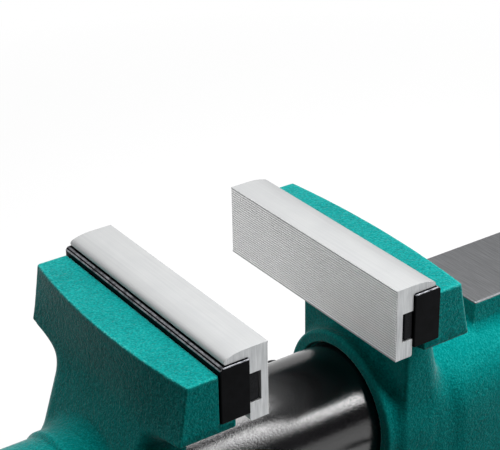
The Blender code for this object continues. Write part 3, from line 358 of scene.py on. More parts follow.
def barrelField(x, y, z):
    b = barrel
    start = blendShare((y - b["widenY"]) / b["widenLength"])
    half, height = b["half"] + b["widen"] * start, b["height"] + b["heighten"] * start
    rise = blendShare((y - b["riseY"]) / b["riseLength"])
    depth = b["depth"] + (b["rearDepth"] - b["depth"]) * rise
    up = z - vise["axisZ"]
    reach = np.where(up > 0, height, depth)
    power = np.where(up > 0, b["upperPower"], b["lowerPower"] - (b["lowerPower"] - b["upperPower"]) * rise)
    u, v = np.abs(x) / half + 1e-6, np.abs(up) / reach + 1e-6
    total = u ** power + v ** power
    size = total ** (1 / power)
    steep = np.sqrt((u ** (power - 1) / half) ** 2 + (v ** (power - 1) / reach) ** 2)
    slope = total ** (1 / power - 1) * steep
    tilt = np.where(up > 0, 0.0, b["tilt"] * rise * (1 - rise) * 4)
    return (size - 1) / np.maximum(slope, 1e-4) / np.sqrt(1 + tilt ** 2)


def fixedField(x, y, z):
    f = fixedCasting
    ring = far(x, z - vise["axisZ"])
    collar = rodField(ring, y, f["collarRadius"], f["collarFront"], f["collarRear"], f["collarEdge"])
    body = filletJoin(jawField(x, y - vise["fixedSeatY"], z, f), collar, f["collarFillet"])
    rear = both(barrelField(x, y, z), f["barrelLow"] - z)
    rear = roundCut(rear, np.abs(y - f["barrelMiddleY"]) - f["barrelHalf"], f["barrelEdge"])
    anvil = boxField(x, y, z, f["anvilLow"], f["anvilHigh"], f["anvilEdge"])
    body = filletJoin(body, filletJoin(rear, anvil, f["anvilFillet"]), f["barrelFillet"])
    around = far(x, y)
    beside = far(np.abs(x) - vise["lugX"], y)
    foot = filletJoin(rodField(around, z, f["footRadius"], f["footLow"], f["footHigh"], 2.0),
                      rodField(beside, z, f["lugRadius"], f["lugLow"], f["lugHigh"], 1.4), 2.5)
    body = both(filletJoin(body, foot, f["footFillet"]), f["footLow"] - z)
    body = either(body, rodField(around, z, f["spigotRadius"], f["spigotLow"], 26.0, 1.0))
    bore = either(ring - vise["boreRadius"], both(ring - f["mouthRadius"], y - f["mouthRear"]))
    body = roundCut(body, -bore, 0.5)
    slot = boxField(x, y, z, f["slotLow"], f["slotHigh"], 0.3)
    pocket = boxField(x, y, z, f["pocketLow"], f["pocketHigh"], 0.5)
    body = roundCut(body, -either(slot, pocket), 0.4)
    body = roundCut(body, f["lugHole"] - beside, 0.5)
    return roundCut(body, -seatField(x, y - vise["fixedSeatY"], z), 0.4)


movingCasting = {
    "depthEnd": 14.7, "depthMiddle": 19.8, "depthBottom": 18.7, "depthAxis": 42.0, "neckHalf": 41.2,
    "footSetback": 0.0, "footStartZ": 151.6, "footRise": 50.6, "footTaper": 2.0, "neckBottomZ": 100.0,
    "hubRadius": 39.0, "hubFront": -231.4, "hubRear": -182.2, "hubEdge": 1.8, "hubFillet": 5.5, "swell": 1.3,
    "swellY": -183.5, "swellLength": 8.0, "noseRadius": 38.6, "noseFront": -266.8, "noseRear": -190.0,
    "noseRound": 11.6, "boreFront": -250.8, "screwBore": 12.4, "lockHoleY": -235.8, "lockHole": 5.3,
    "low": (-62.5, -266.8, 64.0), "high": (62.5, -180.9, 195.6), "step": 0.8, "triangles": 120000,
}


def movingField(x, y, z):
    f = movingCasting
    ring = far(x, z - vise["axisZ"])
    body = jawField(x, vise["movingSeatY"] - y, z, f)
    swell = f["swell"] * blendShare((f["swellY"] - y) / f["swellLength"])
    hub = rodField(ring - swell, y, f["hubRadius"], f["hubFront"], f["hubRear"], f["hubEdge"])
    nose = roundCut(ring - f["noseRadius"], both(f["noseFront"] - y, y - f["noseRear"]), f["noseRound"])
    body = filletJoin(body, filletJoin(hub, nose, 1.5), f["hubFillet"])
    bore = either(both(ring - vise["boreRadius"], f["boreFront"] - y), ring - f["screwBore"])
    body = roundCut(body, -bore, 0.5)
    lockHole = both(far(x, y - f["lockHoleY"]) - f["lockHole"], z - vise["axisZ"])
    body = roundCut(body, -lockHole, 0.5)
    return roundCut(body, -seatField(x, vise["movingSeatY"] - y, z), 0.4)


swivelBase = {"radius": 84.0, "height": 22.0, "earReach": 92.0, "earHalf": 13.0, "earHeight": 13.0, "earHole": 5.5,
              "earFillet": 7.0, "ring": 66.0, "channelHalf": 11.0, "ringSlotHalf": 6.3, "socket": 14.3,
              "socketLow": 7.0, "entry": 12.6, "entryLow": 12.0, "edge": 1.8,
              "low": (-84.0, -84.0, 0.0), "high": (84.0, 84.0, 22.0), "step": 0.9, "triangles": 110000}


def baseField(x, y, z):
    f = swivelBase
    around = far(x, y)
    disc = rodField(around, z, f["radius"], 0.0, f["height"], f["edge"])
    u = (np.abs(x) + np.abs(y)) / math.sqrt(2)  # along a diagonal, where each ear stands
    v = (np.abs(x) - np.abs(y)) / math.sqrt(2)
    across = far(u - f["earReach"], v)
    root = both(np.abs(v) - f["earHalf"] - (f["earReach"] - u) * 0.5, u - f["earReach"], 60.0 - u)
    ear = either(across - f["earHalf"], root)
    ear = roundCut(ear, np.abs(z - f["earHeight"] / 2) - f["earHeight"] / 2, 1.5)
    body = both(filletJoin(disc, ear, f["earFillet"]), -z)
    body = roundCut(body, f["earHole"] - across, 0.8)
    channel = both(np.abs(around - f["ring"]) - f["channelHalf"], np.abs(z - 9.5) - 4.5)
    ringSlot = both(np.abs(around - f["ring"]) - f["ringSlotHalf"], 9.0 - z)
    socket = both(around - f["socket"], f["socketLow"] - z)
    entry = both(far(x, y - f["ring"]) - f["entry"], f["entryLow"] - z)
    return roundCut(body, -either(channel, ringSlot, socket, entry), 0.6)


lockLever = {"hubRadius": 10.5, "hubLow": 39.4, "hubHigh": 54.4, "reach": 62.0, "rise": 20.0, "rest": -70.0,
             "armRoot": 5.2, "armTip": 4.0, "ball": 8.0, "fillet": 3.5, "boltHole": 6.3, "nearSide": 16.5,
             "farSide": 42.5, "front": -68.0, "rear": 10.5, "top": 79.0, "step": 0.6, "triangles": 40000}


def leverField(side):
    f = lockLever
    heading = math.radians(f["rest"] if side > 0 else 180 - f["rest"])
    rise = math.radians(f["rise"])
    way = (math.cos(heading) * math.cos(rise), math.sin(heading) * math.cos(rise), math.sin(rise))
    length = f["reach"] / math.cos(rise)
    middle = (f["hubLow"] + f["hubHigh"]) / 2

    def field(x, y, z):
        x = x - side * vise["lugX"]
        around = far(x, y)
        hub = rodField(around, z, f["hubRadius"], f["hubLow"], f["hubHigh"], 1.5)
        along = x * way[0] + y * way[1] + (z - middle) * way[2]
        px, py, pz = x - along * way[0], y - along * way[1], z - middle - along * way[2]
        across = np.sqrt(px * px + py * py + pz * pz)
        thick = f["armRoot"] + (f["armTip"] - f["armRoot"]) * np.clip(along / length, 0, 1)
        arm = both(across - thick, -along, along - length)
        ball = far(across, along - length) - f["ball"]
        body = filletJoin(filletJoin(arm, ball, f["fillet"]), hub, f["fillet"])
        body = both(body, f["hubLow"] - z)
        return roundCut(body, f["boltHole"] - around, 0.7)
    return field


def slopeOf(field, points, reach=0.04):
    slope = np.empty_like(points)
    for axis in range(3):
        shift = np.zeros(3)
        shift[axis] = reach
        ahead, behind = points + shift, points - shift
        slope[:, axis] = (field(*ahead.T) - field(*behind.T)) / (2 * reach)
    return slope


def settle(field, points, rounds, limit):  # moves points onto the surface
    for _ in range(rounds):
        slope = slopeOf(field, points)
        size = np.maximum((slope ** 2).sum(1), 0.05)
        move = slope * (field(*points.T) / size)[:, None]
        length = np.sqrt((move ** 2).sum(1))[:, None]
        points = points - move * np.minimum(1, limit / np.maximum(length, 1e-9))
    return points


def skinOf(field, low, high, step):  # one vertex for each grid cell that the surface crosses
    axes = [np.arange(a - 2 * step, b + 3 * step, step) for a, b in zip(low, high)]
    slabs = []
    for start in range(0, len(axes[0]), 8):
        x = axes[0][start:start + 8, None, None]
        slab = field(x, axes[1][None, :, None], axes[2][None, None, :])
        slabs.append(np.broadcast_to(slab, (x.shape[0], len(axes[1]), len(axes[2]))).astype(np.float32))
    values = np.concatenate(slabs)
    inside = values < 0
    count = np.zeros([n - 1 for n in values.shape], np.int8)
    for corner in product((0, 1), repeat=3):
        count += inside[tuple(slice(c, c + n) for c, n in zip(corner, count.shape))]
    active = (count > 0) & (count < 8)
    cells = np.argwhere(active)
    ids = np.full(active.shape, -1, np.int32)
    ids[active] = np.arange(len(cells))
    total, hits = np.zeros((len(cells), 3)), np.zeros(len(cells))
    for axis in range(3):
        one, two = (axis + 1) % 3, (axis + 2) % 3
        for a, b in product((0, 1), repeat=2):
            start = cells.copy()
            start[:, one] += a
            start[:, two] += b
            end = start.copy()
            end[:, axis] += 1
            v0, v1 = values[tuple(start.T)], values[tuple(end.T)]
            cross = (v0 < 0) != (v1 < 0)
            point = start[cross].astype(float)
            point[:, axis] += v0[cross] / (v0[cross] - v1[cross])
            total[cross] += point
            hits[cross] += 1
    points = np.array([a[0] for a in axes]) + step * total / hits[:, None]
    faces = []
    for axis in range(3):
        one, two = (axis + 1) % 3, (axis + 2) % 3
        edges = np.argwhere(np.diff(inside, axis=axis))
        corners = []
        for a, b in ((1, 1), (0, 1), (0, 0), (1, 0)):
            cell = edges.copy()
            cell[:, one] -= a
            cell[:, two] -= b
            corners.append(ids[tuple(cell.T)])
        quads = np.stack(corners, 1)
        inward = ~inside[tuple(edges.T)]
        quads[inward] = quads[inward][:, ::-1]
        faces.append(quads)
    return points, np.concatenate(faces)


def meshFrom(name, points, faces):
    mesh = bpy.data.meshes.new(name)
    mesh.vertices.add(len(points))
    mesh.vertices.foreach_set("co", np.asarray(points, np.float32).ravel())
    mesh.loops.add(faces.size)
    mesh.loops.foreach_set("vertex_index", faces.astype(np.int32).ravel())
    mesh.polygons.add(len(faces))
    mesh.polygons.foreach_set("loop_start", np.arange(0, faces.size, faces.shape[1], dtype=np.int32))
    mesh.update(calc_edges=True)
    mesh.validate()
    return mesh


def newObject(name, data):
    made = bpy.data.objects.new(name, data)
    bpy.context.scene.collection.objects.link(made)
    return made


def showMesh(name, mesh, material):
    made = newObject(name, mesh)
    if material:
        mesh.materials.append(material)
    return made


def finish(made):  # applies the object's modifiers in their order
    graph = bpy.context.evaluated_depsgraph_get()
    graph.update()
    mesh = bpy.data.meshes.new_from_object(made.evaluated_get(graph))
    made.modifiers.clear()
    old = made.data
    made.data = mesh
    mesh.name = made.name
    bpy.data.meshes.remove(old)


bendReach = 0.7  # how far from a point its surface's bend is measured


# the surface of a field between the corners low and high, thinned to a number of triangles
def castPiece(name, field, sizes, material):
    step = sizes["step"] * 1
    points, faces = skinOf(field, sizes["low"], sizes["high"], step)
    points = settle(field, points, 2, step * 0.5)
    made = showMesh(name, meshFrom(name, points * mm, faces), material)
    wanted = sizes["triangles"] / 1
    if 2 * len(faces) > wanted:
        thin = made.modifiers.new("thin", "DECIMATE")
        thin.ratio = wanted / (2 * len(faces))
        finish(made)
    mesh = made.data
    points = np.empty(len(mesh.vertices) * 3)
    mesh.vertices.foreach_get("co", points)
    points = settle(field, points.reshape(-1, 3) / mm, 2, step * 0.25)
    mesh.vertices.foreach_set("co", (points * mm).astype(np.float32).ravel())
    slope = slopeOf(field, points)
    slope /= np.maximum(np.sqrt((slope ** 2).sum(1)), 1e-6)[:, None]
    bend = sum((field(*(points + s).T) + field(*(points - s).T)) for s in np.eye(3) * bendReach)
    bend = (bend - 6 * field(*points.T)) / bendReach ** 2
    # the enamel paints a highlight with some wear from this on outer edges, and shade with some pooled paint in
    # fillets
    ridge = mesh.attributes.new("ridge", "FLOAT", "POINT")  # above 0 on outer edges, below 0 in fillets
    ridge.data.foreach_set("value", np.clip(bend, -1, 1).astype(np.float32))
    mesh.shade_smooth()
    mesh.normals_split_custom_set_from_vertices(slope.tolist())
    mesh.update()
    print(f"{name}: {len(mesh.polygons)} faces")
    return made


fixedPiece = castPiece("fixedCasting", fixedField, fixedCasting, enamelAnvil)
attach(fixedPiece, "fixed_body")
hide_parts("fixed_body")

movingPiece = castPiece("movingCasting", movingField, movingCasting, enamel)
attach(movingPiece, "moving_jaw")
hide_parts("moving_jaw")

basePiece = castPiece("swivelBaseCasting", baseField, swivelBase, enamel)
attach(basePiece, "base")
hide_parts("swivel_base")

for side, word in ((-1, "left"), (1, "right")):
    f = lockLever
    left, right = (f["farSide"], f["nearSide"]) if side < 0 else (f["nearSide"], f["farSide"])
    low = (side * vise["lugX"] - left, f["front"], f["hubLow"])
    high = (side * vise["lugX"] + right, f["rear"], f["top"])
    lever = castPiece(f"lockLever_{word}", leverField(side), {**f, "low": low, "high": high}, blackOxide)
    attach(lever, f"lock_lever_{word}")
    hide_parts(f"lock_lever_{word}")
print("castings made")


def closeForm(form, name):
    mesh = bpy.data.meshes.new(name)
    form.to_mesh(mesh)
    form.free()
    return mesh


def turnedMesh(name, outline, turn, place, steps=96):  # outline of (radius, height) about Z
    form = bmesh.new()
    corners = [form.verts.new((radius * mm, 0, height * mm)) for radius, height in outline]
    edges = [form.edges.new(pair) for pair in zip(corners, corners[1:])]
    if outline[0][0] > 0:
        edges.append(form.edges.new((corners[-1], corners[0])))
    bmesh.ops.spin(form, geom=corners + edges, cent=(0, 0, 0), axis=(0, 0, 1), angle=math.tau, steps=steps,
                   use_merge=True)
    bmesh.ops.remove_doubles(form, verts=form.verts, dist=1e-6)
    bmesh.ops.transform(form, matrix=Matrix.Translation(Vector(place) * mm) @ turn, verts=form.verts)
    bmesh.ops.recalc_face_normals(form, faces=form.faces)
    return closeForm(form, name)


sharpFrom = 32  # degrees between two faces from which their edge stays sharp


def turned(name, outline, turn, place, material, steps=96, cutters=()):
    made = showMesh(name, turnedMesh(name, outline, turn, place, steps), material)
    cutAway(made, cutters)
    made.data.shade_smooth()
    made.data.set_sharp_from_angle(angle=math.radians(sharpFrom))
    return made


def boxMesh(name, low, high):
    form = bmesh.new()
    size, middle = (Vector(high) - Vector(low)) * mm, (Vector(high) + Vector(low)) / 2 * mm
    bmesh.ops.create_cube(form, size=1, matrix=Matrix.Translation(middle) @ Matrix.Diagonal((*size, 1)))
    return closeForm(form, name)


def rodMesh(name, radius, low, high, turn, place, steps=48):
    form = bmesh.new()
    shift = Matrix.Translation(Vector(place) * mm) @ turn @ Matrix.Translation((0, 0, (low + high) / 2 * mm))
    bmesh.ops.create_cone(form, cap_ends=True, segments=steps, radius1=radius * mm, radius2=radius * mm,
                          depth=(high - low) * mm, matrix=shift)
    return closeForm(form, name)


def cutAway(made, meshes):
    tools = []
    for mesh in meshes:
        tool = newObject("cutter", mesh)
        cut = made.modifiers.new("cut", "BOOLEAN")
        cut.operation, cut.solver, cut.object = "DIFFERENCE", "EXACT", tool
        tools.append(tool)
    if tools:
        finish(made)
    for tool in tools:
        bpy.data.objects.remove(tool)


def bevelled(made, width, degrees=35, highlightEdgeMaterial=None):
    bevel = made.modifiers.new("edges", "BEVEL")
    if highlightEdgeMaterial:
        made.data.materials.append(highlightEdgeMaterial)
        bevel.material = len(made.data.materials) - 1
    bevel.width, bevel.segments, bevel.limit_method = width * mm, 2, "ANGLE"
    bevel.angle_limit = math.radians(degrees)
    bevel.harden_normals = True
    made.data.shade_smooth()
    finish(made)


def rounded(corner, radius, start, end, steps=5):  # points of a quarter round, angles in degrees
    angles = [math.radians(start + (end - start) * k / steps) for k in range(steps + 1)]
    return [(corner[0] + radius * math.cos(a), corner[1] + radius * math.sin(a)) for a in angles]


def ringOutline(ring):  # half section of a ring with chamfered outer edges
    inner, outer, front, rear, edge = (ring[word] for word in ("bore", "radius", "front", "rear", "edge"))
    return [(inner, front), (outer - edge, front), (outer, front + edge), (outer, rear - edge), (outer - edge, rear),
            (inner, rear)]


alongY = Matrix.Rotation(math.radians(-90), 4, "X")
towardMinusY = Matrix.Rotation(math.radians(90), 4, "X")
alongX = Matrix.Rotation(math.radians(90), 4, "Y")
towardMinusX = Matrix.Rotation(math.radians(-90), 4, "Y")
upright = Matrix.Identity(4)
slideAxis = (0, 0, vise["axisZ"])

slideTube = {"bore": 24.0, "front": -250.5, "rear": 80.0, "edge": 0.8, "slotHalf": 8.3, "slotFront": -122.7,
             "slotRear": 51.0, "slotLow": 60.0, "slotHigh": 105.0, "screwY": -235.8, "screwHole": 3.3}
t = slideTube
outline = rounded((vise["tubeRadius"] - t["edge"], t["front"] + t["edge"]), t["edge"], -90, 0)
outline += rounded((vise["tubeRadius"] - t["edge"], t["rear"] - t["edge"]), t["edge"], 0, 90)
outline += [(t["bore"] + 0.4, t["rear"]), (t["bore"], t["rear"] - 0.4), (t["bore"], t["front"] + 0.4),
            (t["bore"] + 0.4, t["front"])]
low, high = (-t["slotHalf"], t["slotFront"], t["slotLow"]), (t["slotHalf"], t["slotRear"], t["slotHigh"])
slotCut = [boxMesh("slot", low, high),
           rodMesh("screwHole", t["screwHole"], -45.0, 0.0, upright, (0, t["screwY"], vise["axisZ"]))]
tube = turned("slideTube", outline, alongY, slideAxis, tubeSteel, 160, slotCut)
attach(tube, "moving_jaw")
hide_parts("slide_tube")

endCap = {"front": 68.0, "seat": 80.3, "rear": 83.3, "flange": 31.2, "spigot": 23.7, "rim": 24.5, "dish": 1.1,
          "dishRadius": 23.4, "bossOuter": 8.0, "bossInner": 6.0, "bossTop": 0.3}
c = endCap
floor, boss = c["rear"] - c["dish"], c["rear"] - c["bossTop"]
outline = [(0, c["front"]), (c["spigot"] - 1.0, c["front"]), (c["spigot"], c["front"] + 1.0),
           (c["spigot"], c["seat"]), (c["flange"], c["seat"])]
outline += rounded((c["flange"] - 1.4, c["rear"] - 1.4), 1.4, 0, 90)
outline += [(c["rim"], c["rear"]), (c["dishRadius"], floor), (c["bossOuter"], floor), (c["bossOuter"] - 0.6, boss),
            (c["bossInner"] + 0.6, boss), (c["bossInner"], floor), (0, floor)]
cap = turned("tubeEndCap", outline, alongY, slideAxis, plastic, 128)
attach(cap, "moving_jaw")
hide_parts("tube_end_cap")

thrustWasher = {"bore": 12.4, "radius": 19.0, "front": -270.1, "rear": -267.1, "edge": 0.4}
washer = turned("thrustWasher", ringOutline(thrustWasher), alongY, slideAxis, bronze)
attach(washer, "moving_jaw")
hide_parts("thrust_washer")
print("slide made")


def newGroup(name, sockets):  # a node group that has these inputs and hands geometry on
    tree = bpy.data.node_groups.new(name, "GeometryNodeTree")
    names = {word: tree.interface.new_socket(word, in_out="INPUT", socket_type=f"NodeSocket{kind}").identifier
             for word, kind in sockets.items()}
    tree.interface.new_socket("Geometry", in_out="OUTPUT", socket_type="NodeSocketGeometry")
    return tree, names, addNode(tree, "NodeGroupInput").outputs


def closeGroup(tree, geometry, material):
    real = addNode(tree, "GeometryNodeRealizeInstances", {"Geometry": geometry})
    painted = addNode(tree, "GeometryNodeSetMaterial", {"Geometry": real.outputs[0], "Material": material})
    addNode(tree, "NodeGroupOutput", {0: painted.outputs[0]})


def grow(made, tree, names, values):
    group = made.modifiers.new(tree.name, "NODES")
    group.node_group = tree
    for word, value in values.items():
        group[names[word]] = value
    finish(made)


# repeats the object's own mesh along a line
rowTree, rowNames, given = newGroup("rowOfCopies", {
    "Geometry": "Geometry", "copies": "Int", "spacing": "Vector", "finish": "Material"})
line = addNode(rowTree, "GeometryNodeMeshLine", {"Count": given["copies"], "Offset": given["spacing"]}, mode="OFFSET")
copied = addNode(rowTree, "GeometryNodeInstanceOnPoints", {
    "Points": line.outputs[0], "Instance": given["Geometry"]})
closeGroup(rowTree, copied.outputs[0], given["finish"])


def repeatInRow(made, copies, spacing, material):
    grow(made, rowTree, rowNames, {"copies": copies, "spacing": [s * mm for s in spacing], "finish": material})


# a ridge of trapezoid section wound about Z
helixTree, helixNames, given = newGroup("helixRidge", {
    **{word: "Float" for word in ("turns", "pitch", "radius", "ridgeHeight", "rootWidth", "crestWidth")},
    "finish": "Material"})
height = addNode(helixTree, "ShaderNodeMath", {0: given["turns"], 1: given["pitch"]}, operation="MULTIPLY")
wound = addNode(helixTree, "GeometryNodeCurveSpiral", {
    "Resolution": 40, "Rotations": given["turns"], "Start Radius": given["radius"], "End Radius": given["radius"],
    "Height": height.outputs[0]})
upward = addNode(helixTree, "GeometryNodeSetCurveNormal", {"Curve": wound.outputs[0]}, mode="Z_UP")
section = addNode(helixTree, "GeometryNodeCurvePrimitiveQuadrilateral", {
    "Height": given["ridgeHeight"], "Bottom Width": given["rootWidth"], "Top Width": given["crestWidth"],
    "Offset": 0.0}, mode="TRAPEZOID")
stood = addNode(helixTree, "GeometryNodeTransform", {
    "Geometry": section.outputs[0], "Rotation": (0, 0, math.radians(-90))})
swept = addNode(helixTree, "GeometryNodeCurveToMesh", {
    "Curve": upward.outputs[0], "Profile Curve": stood.outputs[0], "Fill Caps": True})
flat = addNode(helixTree, "GeometryNodeSetShadeSmooth", {0: swept.outputs[0], "Shade Smooth": False})
closeGroup(helixTree, flat.outputs[0], given["finish"])

leadScrew = {"nose": -314.8, "headRear": -270.4, "headRadius": 18.0, "crest": 12.0, "root": 9.8, "pitch": 5.0,
             "threadStart": -234.0, "rear": 62.0, "barY": -294.8, "barHole": 7.3, "grooves": (-306.5, -280.2, -277.0),
             "grooveDepth": 1.2, "ridgeRoot": 3.1, "ridgeCrest": 1.8}
s = leadScrew
wide, deep = s["headRadius"], s["headRadius"] - s["grooveDepth"]
outline = [(0, s["nose"])] + rounded((wide - 2.2, s["nose"] + 2.2), 2.2, -90, 0)
for y in s["grooves"]:
    outline += [(wide, y - 0.9), (deep, y - 0.3), (deep, y + 0.3), (wide, y + 0.9)]
outline += rounded((wide - 1.4, s["headRear"] - 1.4), 1.4, 0, 90)
outline += [(s["crest"] + 1.2, s["headRear"]), (s["crest"], s["headRear"] + 0.2),
            (s["crest"], s["threadStart"] - 1.5), (s["root"], s["threadStart"]), (s["root"], s["rear"] - 1.5),
            (s["root"] - 1.5, s["rear"]), (0, s["rear"])]
barPlace = (0, s["barY"], vise["axisZ"])
pinPlace = (0, vise["collarPinY"], vise["axisZ"])
holes = [rodMesh("barHole", s["barHole"], -25.0, 25.0, alongX, barPlace, 64),
         rodMesh("pinHole", vise["collarPinHole"], -25.0, 25.0, alongX, pinPlace, 32)]
screw = turned("leadScrew", outline, alongY, slideAxis, turnedAlongY, 128, holes)
ridge = showMesh("leadScrewThread", bpy.data.meshes.new("leadScrewThread"), None)
grow(ridge, helixTree, helixNames, {
    "turns": (s["rear"] - s["threadStart"] - 6.0) / s["pitch"], "pitch": s["pitch"] * mm,
    "radius": (s["crest"] + s["root"] - 0.4) / 2 * mm, "ridgeHeight": (s["crest"] - s["root"] + 0.4) * mm,
    "rootWidth": s["ridgeRoot"] * mm, "crestWidth": s["ridgeCrest"] * mm, "finish": turnedAlongY})
ridge.data.transform(Matrix.Translation((0, (s["threadStart"] + 2.5) * mm, vise["axisZ"] * mm)) @ alongY)
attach(screw, "lead_screw")
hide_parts("lead_screw")
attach(ridge, "lead_screw")

retainingCollar = {"bore": 12.3, "radius": 20.0, "front": -250.5, "rear": -238.5, "edge": 0.8}
pinCut = [rodMesh("pinHole", vise["collarPinHole"], -25.0, 25.0, alongX, pinPlace, 32)]
collar = turned("retainingCollar", ringOutline(retainingCollar), alongY, slideAxis, blackOxide, 96, pinCut)
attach(collar, "lead_screw")
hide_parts("retaining_collar")

handle = {"radius": 7.0, "half": 84.0, "stub": 8.0, "stubRadius": 4.7, "shoulder": 6.6, "knobRadius": 10.5,
          "knobLength": 15.0, "knobFoot": 7.4, "knobBore": 5.0, "round": 3.5}
h = handle
outline = [(0, -h["half"] - h["stub"]), (h["stubRadius"], -h["half"] - h["stub"]),
           (h["stubRadius"], -h["half"] - 0.3), (h["shoulder"], -h["half"] - 0.3), (h["radius"], -h["half"] + 0.2)]
outline += [(radius, -y) for radius, y in outline[::-1]]
bar = turned("handleBar", outline, alongX, barPlace, turnedAlongX, 72)
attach(bar, "handle_bar")
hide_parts("handle_bar")
for side, word, turn in ((-1, "left", towardMinusX), (1, "right", alongX)):
    start, wide = h["half"] + 0.3, h["knobRadius"]
    end = start + h["knobLength"]
    outline = [(h["knobBore"], start), (h["knobFoot"], start)]
    for a in range(10, 91, 10):
        outline.append((h["knobFoot"] + (wide - h["knobFoot"]) * math.sin(math.radians(a)),
                        start + 4.0 * (1 - math.cos(math.radians(a)))))
    outline += [(wide, end - 6.4), (wide - 0.6, end - 6.0), (wide - 0.6, end - 5.4), (wide, end - 5.0)]
    outline += rounded((wide - h["round"], end - h["round"]), h["round"], 0, 90, 8)
    outline += [(2.0, end), (1.4, end - 0.5), (0, end - 0.5), (0, start + 9.0), (h["knobBore"], start + 9.0)]
    knob = turned(f"handleKnob_{word}", outline, turn, barPlace, turnedAlongX, 72)
    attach(knob, "handle_bar")
    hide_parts(f"handle_knob_{word}")
print("screw and handle made")


# an outline of (depth, z) drawn out along X, its depth measured from faceY backwards or, where way is -1, forwards
def profilePiece(name, outline, faceY, way, half, material, cutters=(), width=0, highlightEdgeMaterial=None):
    form = bmesh.new()
    corners = [form.verts.new((-half * mm, (faceY + way * depth) * mm, z * mm)) for depth, z in outline]
    face = form.faces.new(corners)
    moved = bmesh.ops.extrude_face_region(form, geom=[face])["geom"]
    moved = [v for v in moved if isinstance(v, bmesh.types.BMVert)]
    bmesh.ops.translate(form, verts=moved, vec=(2 * half * mm, 0, 0))
    bmesh.ops.recalc_face_normals(form, faces=form.faces)
    made = showMesh(name, closeForm(form, name), material)
    cutAway(made, cutters)
    if width:
        bevelled(made, width, 40, highlightEdgeMaterial)
    return made


jawPlate = {"half": 63.5, "low": 173.1, "high": 199.1, "thickness": 14.0, "edge": 0.6, "backChamfer": 1.2,
            "fixedFrontY": -89.5, "movingFrontY": -174.5}
plateScrew = {"head": 6.5, "headEnd": 8.3, "shank": 4.0, "tip": 25.3, "socket": 3.4, "socketDepth": 4.5,
              "pocket": 6.8, "pocketDepth": 8.6, "mouth": 7.9, "clearHole": 4.4}
p, k = jawPlate, plateScrew
for word, frontY, way in (("fixed", p["fixedFrontY"], 1), ("moving", p["movingFrontY"], -1)):
    body = "fixed_body" if way > 0 else "moving_jaw"
    outline = [(0, p["low"]), (p["thickness"], p["low"]), (p["thickness"], p["high"] - p["backChamfer"]),
               (p["thickness"] - p["backChamfer"], p["high"]), (0, p["high"])]
    turn = alongY if way > 0 else towardMinusY
    pocket = [(0, -1), (k["mouth"], -1), (k["pocket"], 0.4), (k["pocket"], k["pocketDepth"]),
              (k["clearHole"], k["pocketDepth"]), (k["clearHole"], p["thickness"] + 1), (0, p["thickness"] + 1)]
    pockets = [turnedMesh("pocket", pocket, turn, (side * vise["screwX"], frontY, vise["plateScrewZ"]), 48)
               for side in (-1, 1)]
    plate = profilePiece(f"jawPlate_{word}", outline, frontY, way, p["half"], blackOxide, pockets, p["edge"],
                         edgeHighlightPaint)
    # only the bevels that face upwards keep the painted highlight, where the edges catch the light
    for face in plate.data.polygons:
        if face.material_index == 1 and face.normal.z < 0.3:
            face.material_index = 0
    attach(plate, body)
    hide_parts(f"jaw_plate_{word}")
    outline = [(0, 0.3), (k["head"] - 0.9, 0.3)] + rounded((k["head"] - 0.6, 0.9), 0.6, -90, 0)
    outline += [(k["head"], k["headEnd"] - 0.4), (k["head"] - 0.3, k["headEnd"]), (k["shank"], k["headEnd"]),
                (k["shank"], k["tip"] - 0.8), (k["shank"] - 0.8, k["tip"]), (0, k["tip"])]
    place = (-vise["screwX"], frontY, vise["plateScrewZ"])
    screws = turned(f"jawPlateScrews_{word}", outline, turn, place, blackOxide, 48,
                    [rodMesh("socket", k["socket"], -1.0, k["socketDepth"], turn, place, 6)])
    repeatInRow(screws, 2, (2 * vise["screwX"], 0, 0), blackOxide)
    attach(screws, body)
    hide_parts(f"jaw_plate_screw_{word}_left", f"jaw_plate_screw_{word}_right")
print("jaw plates made")

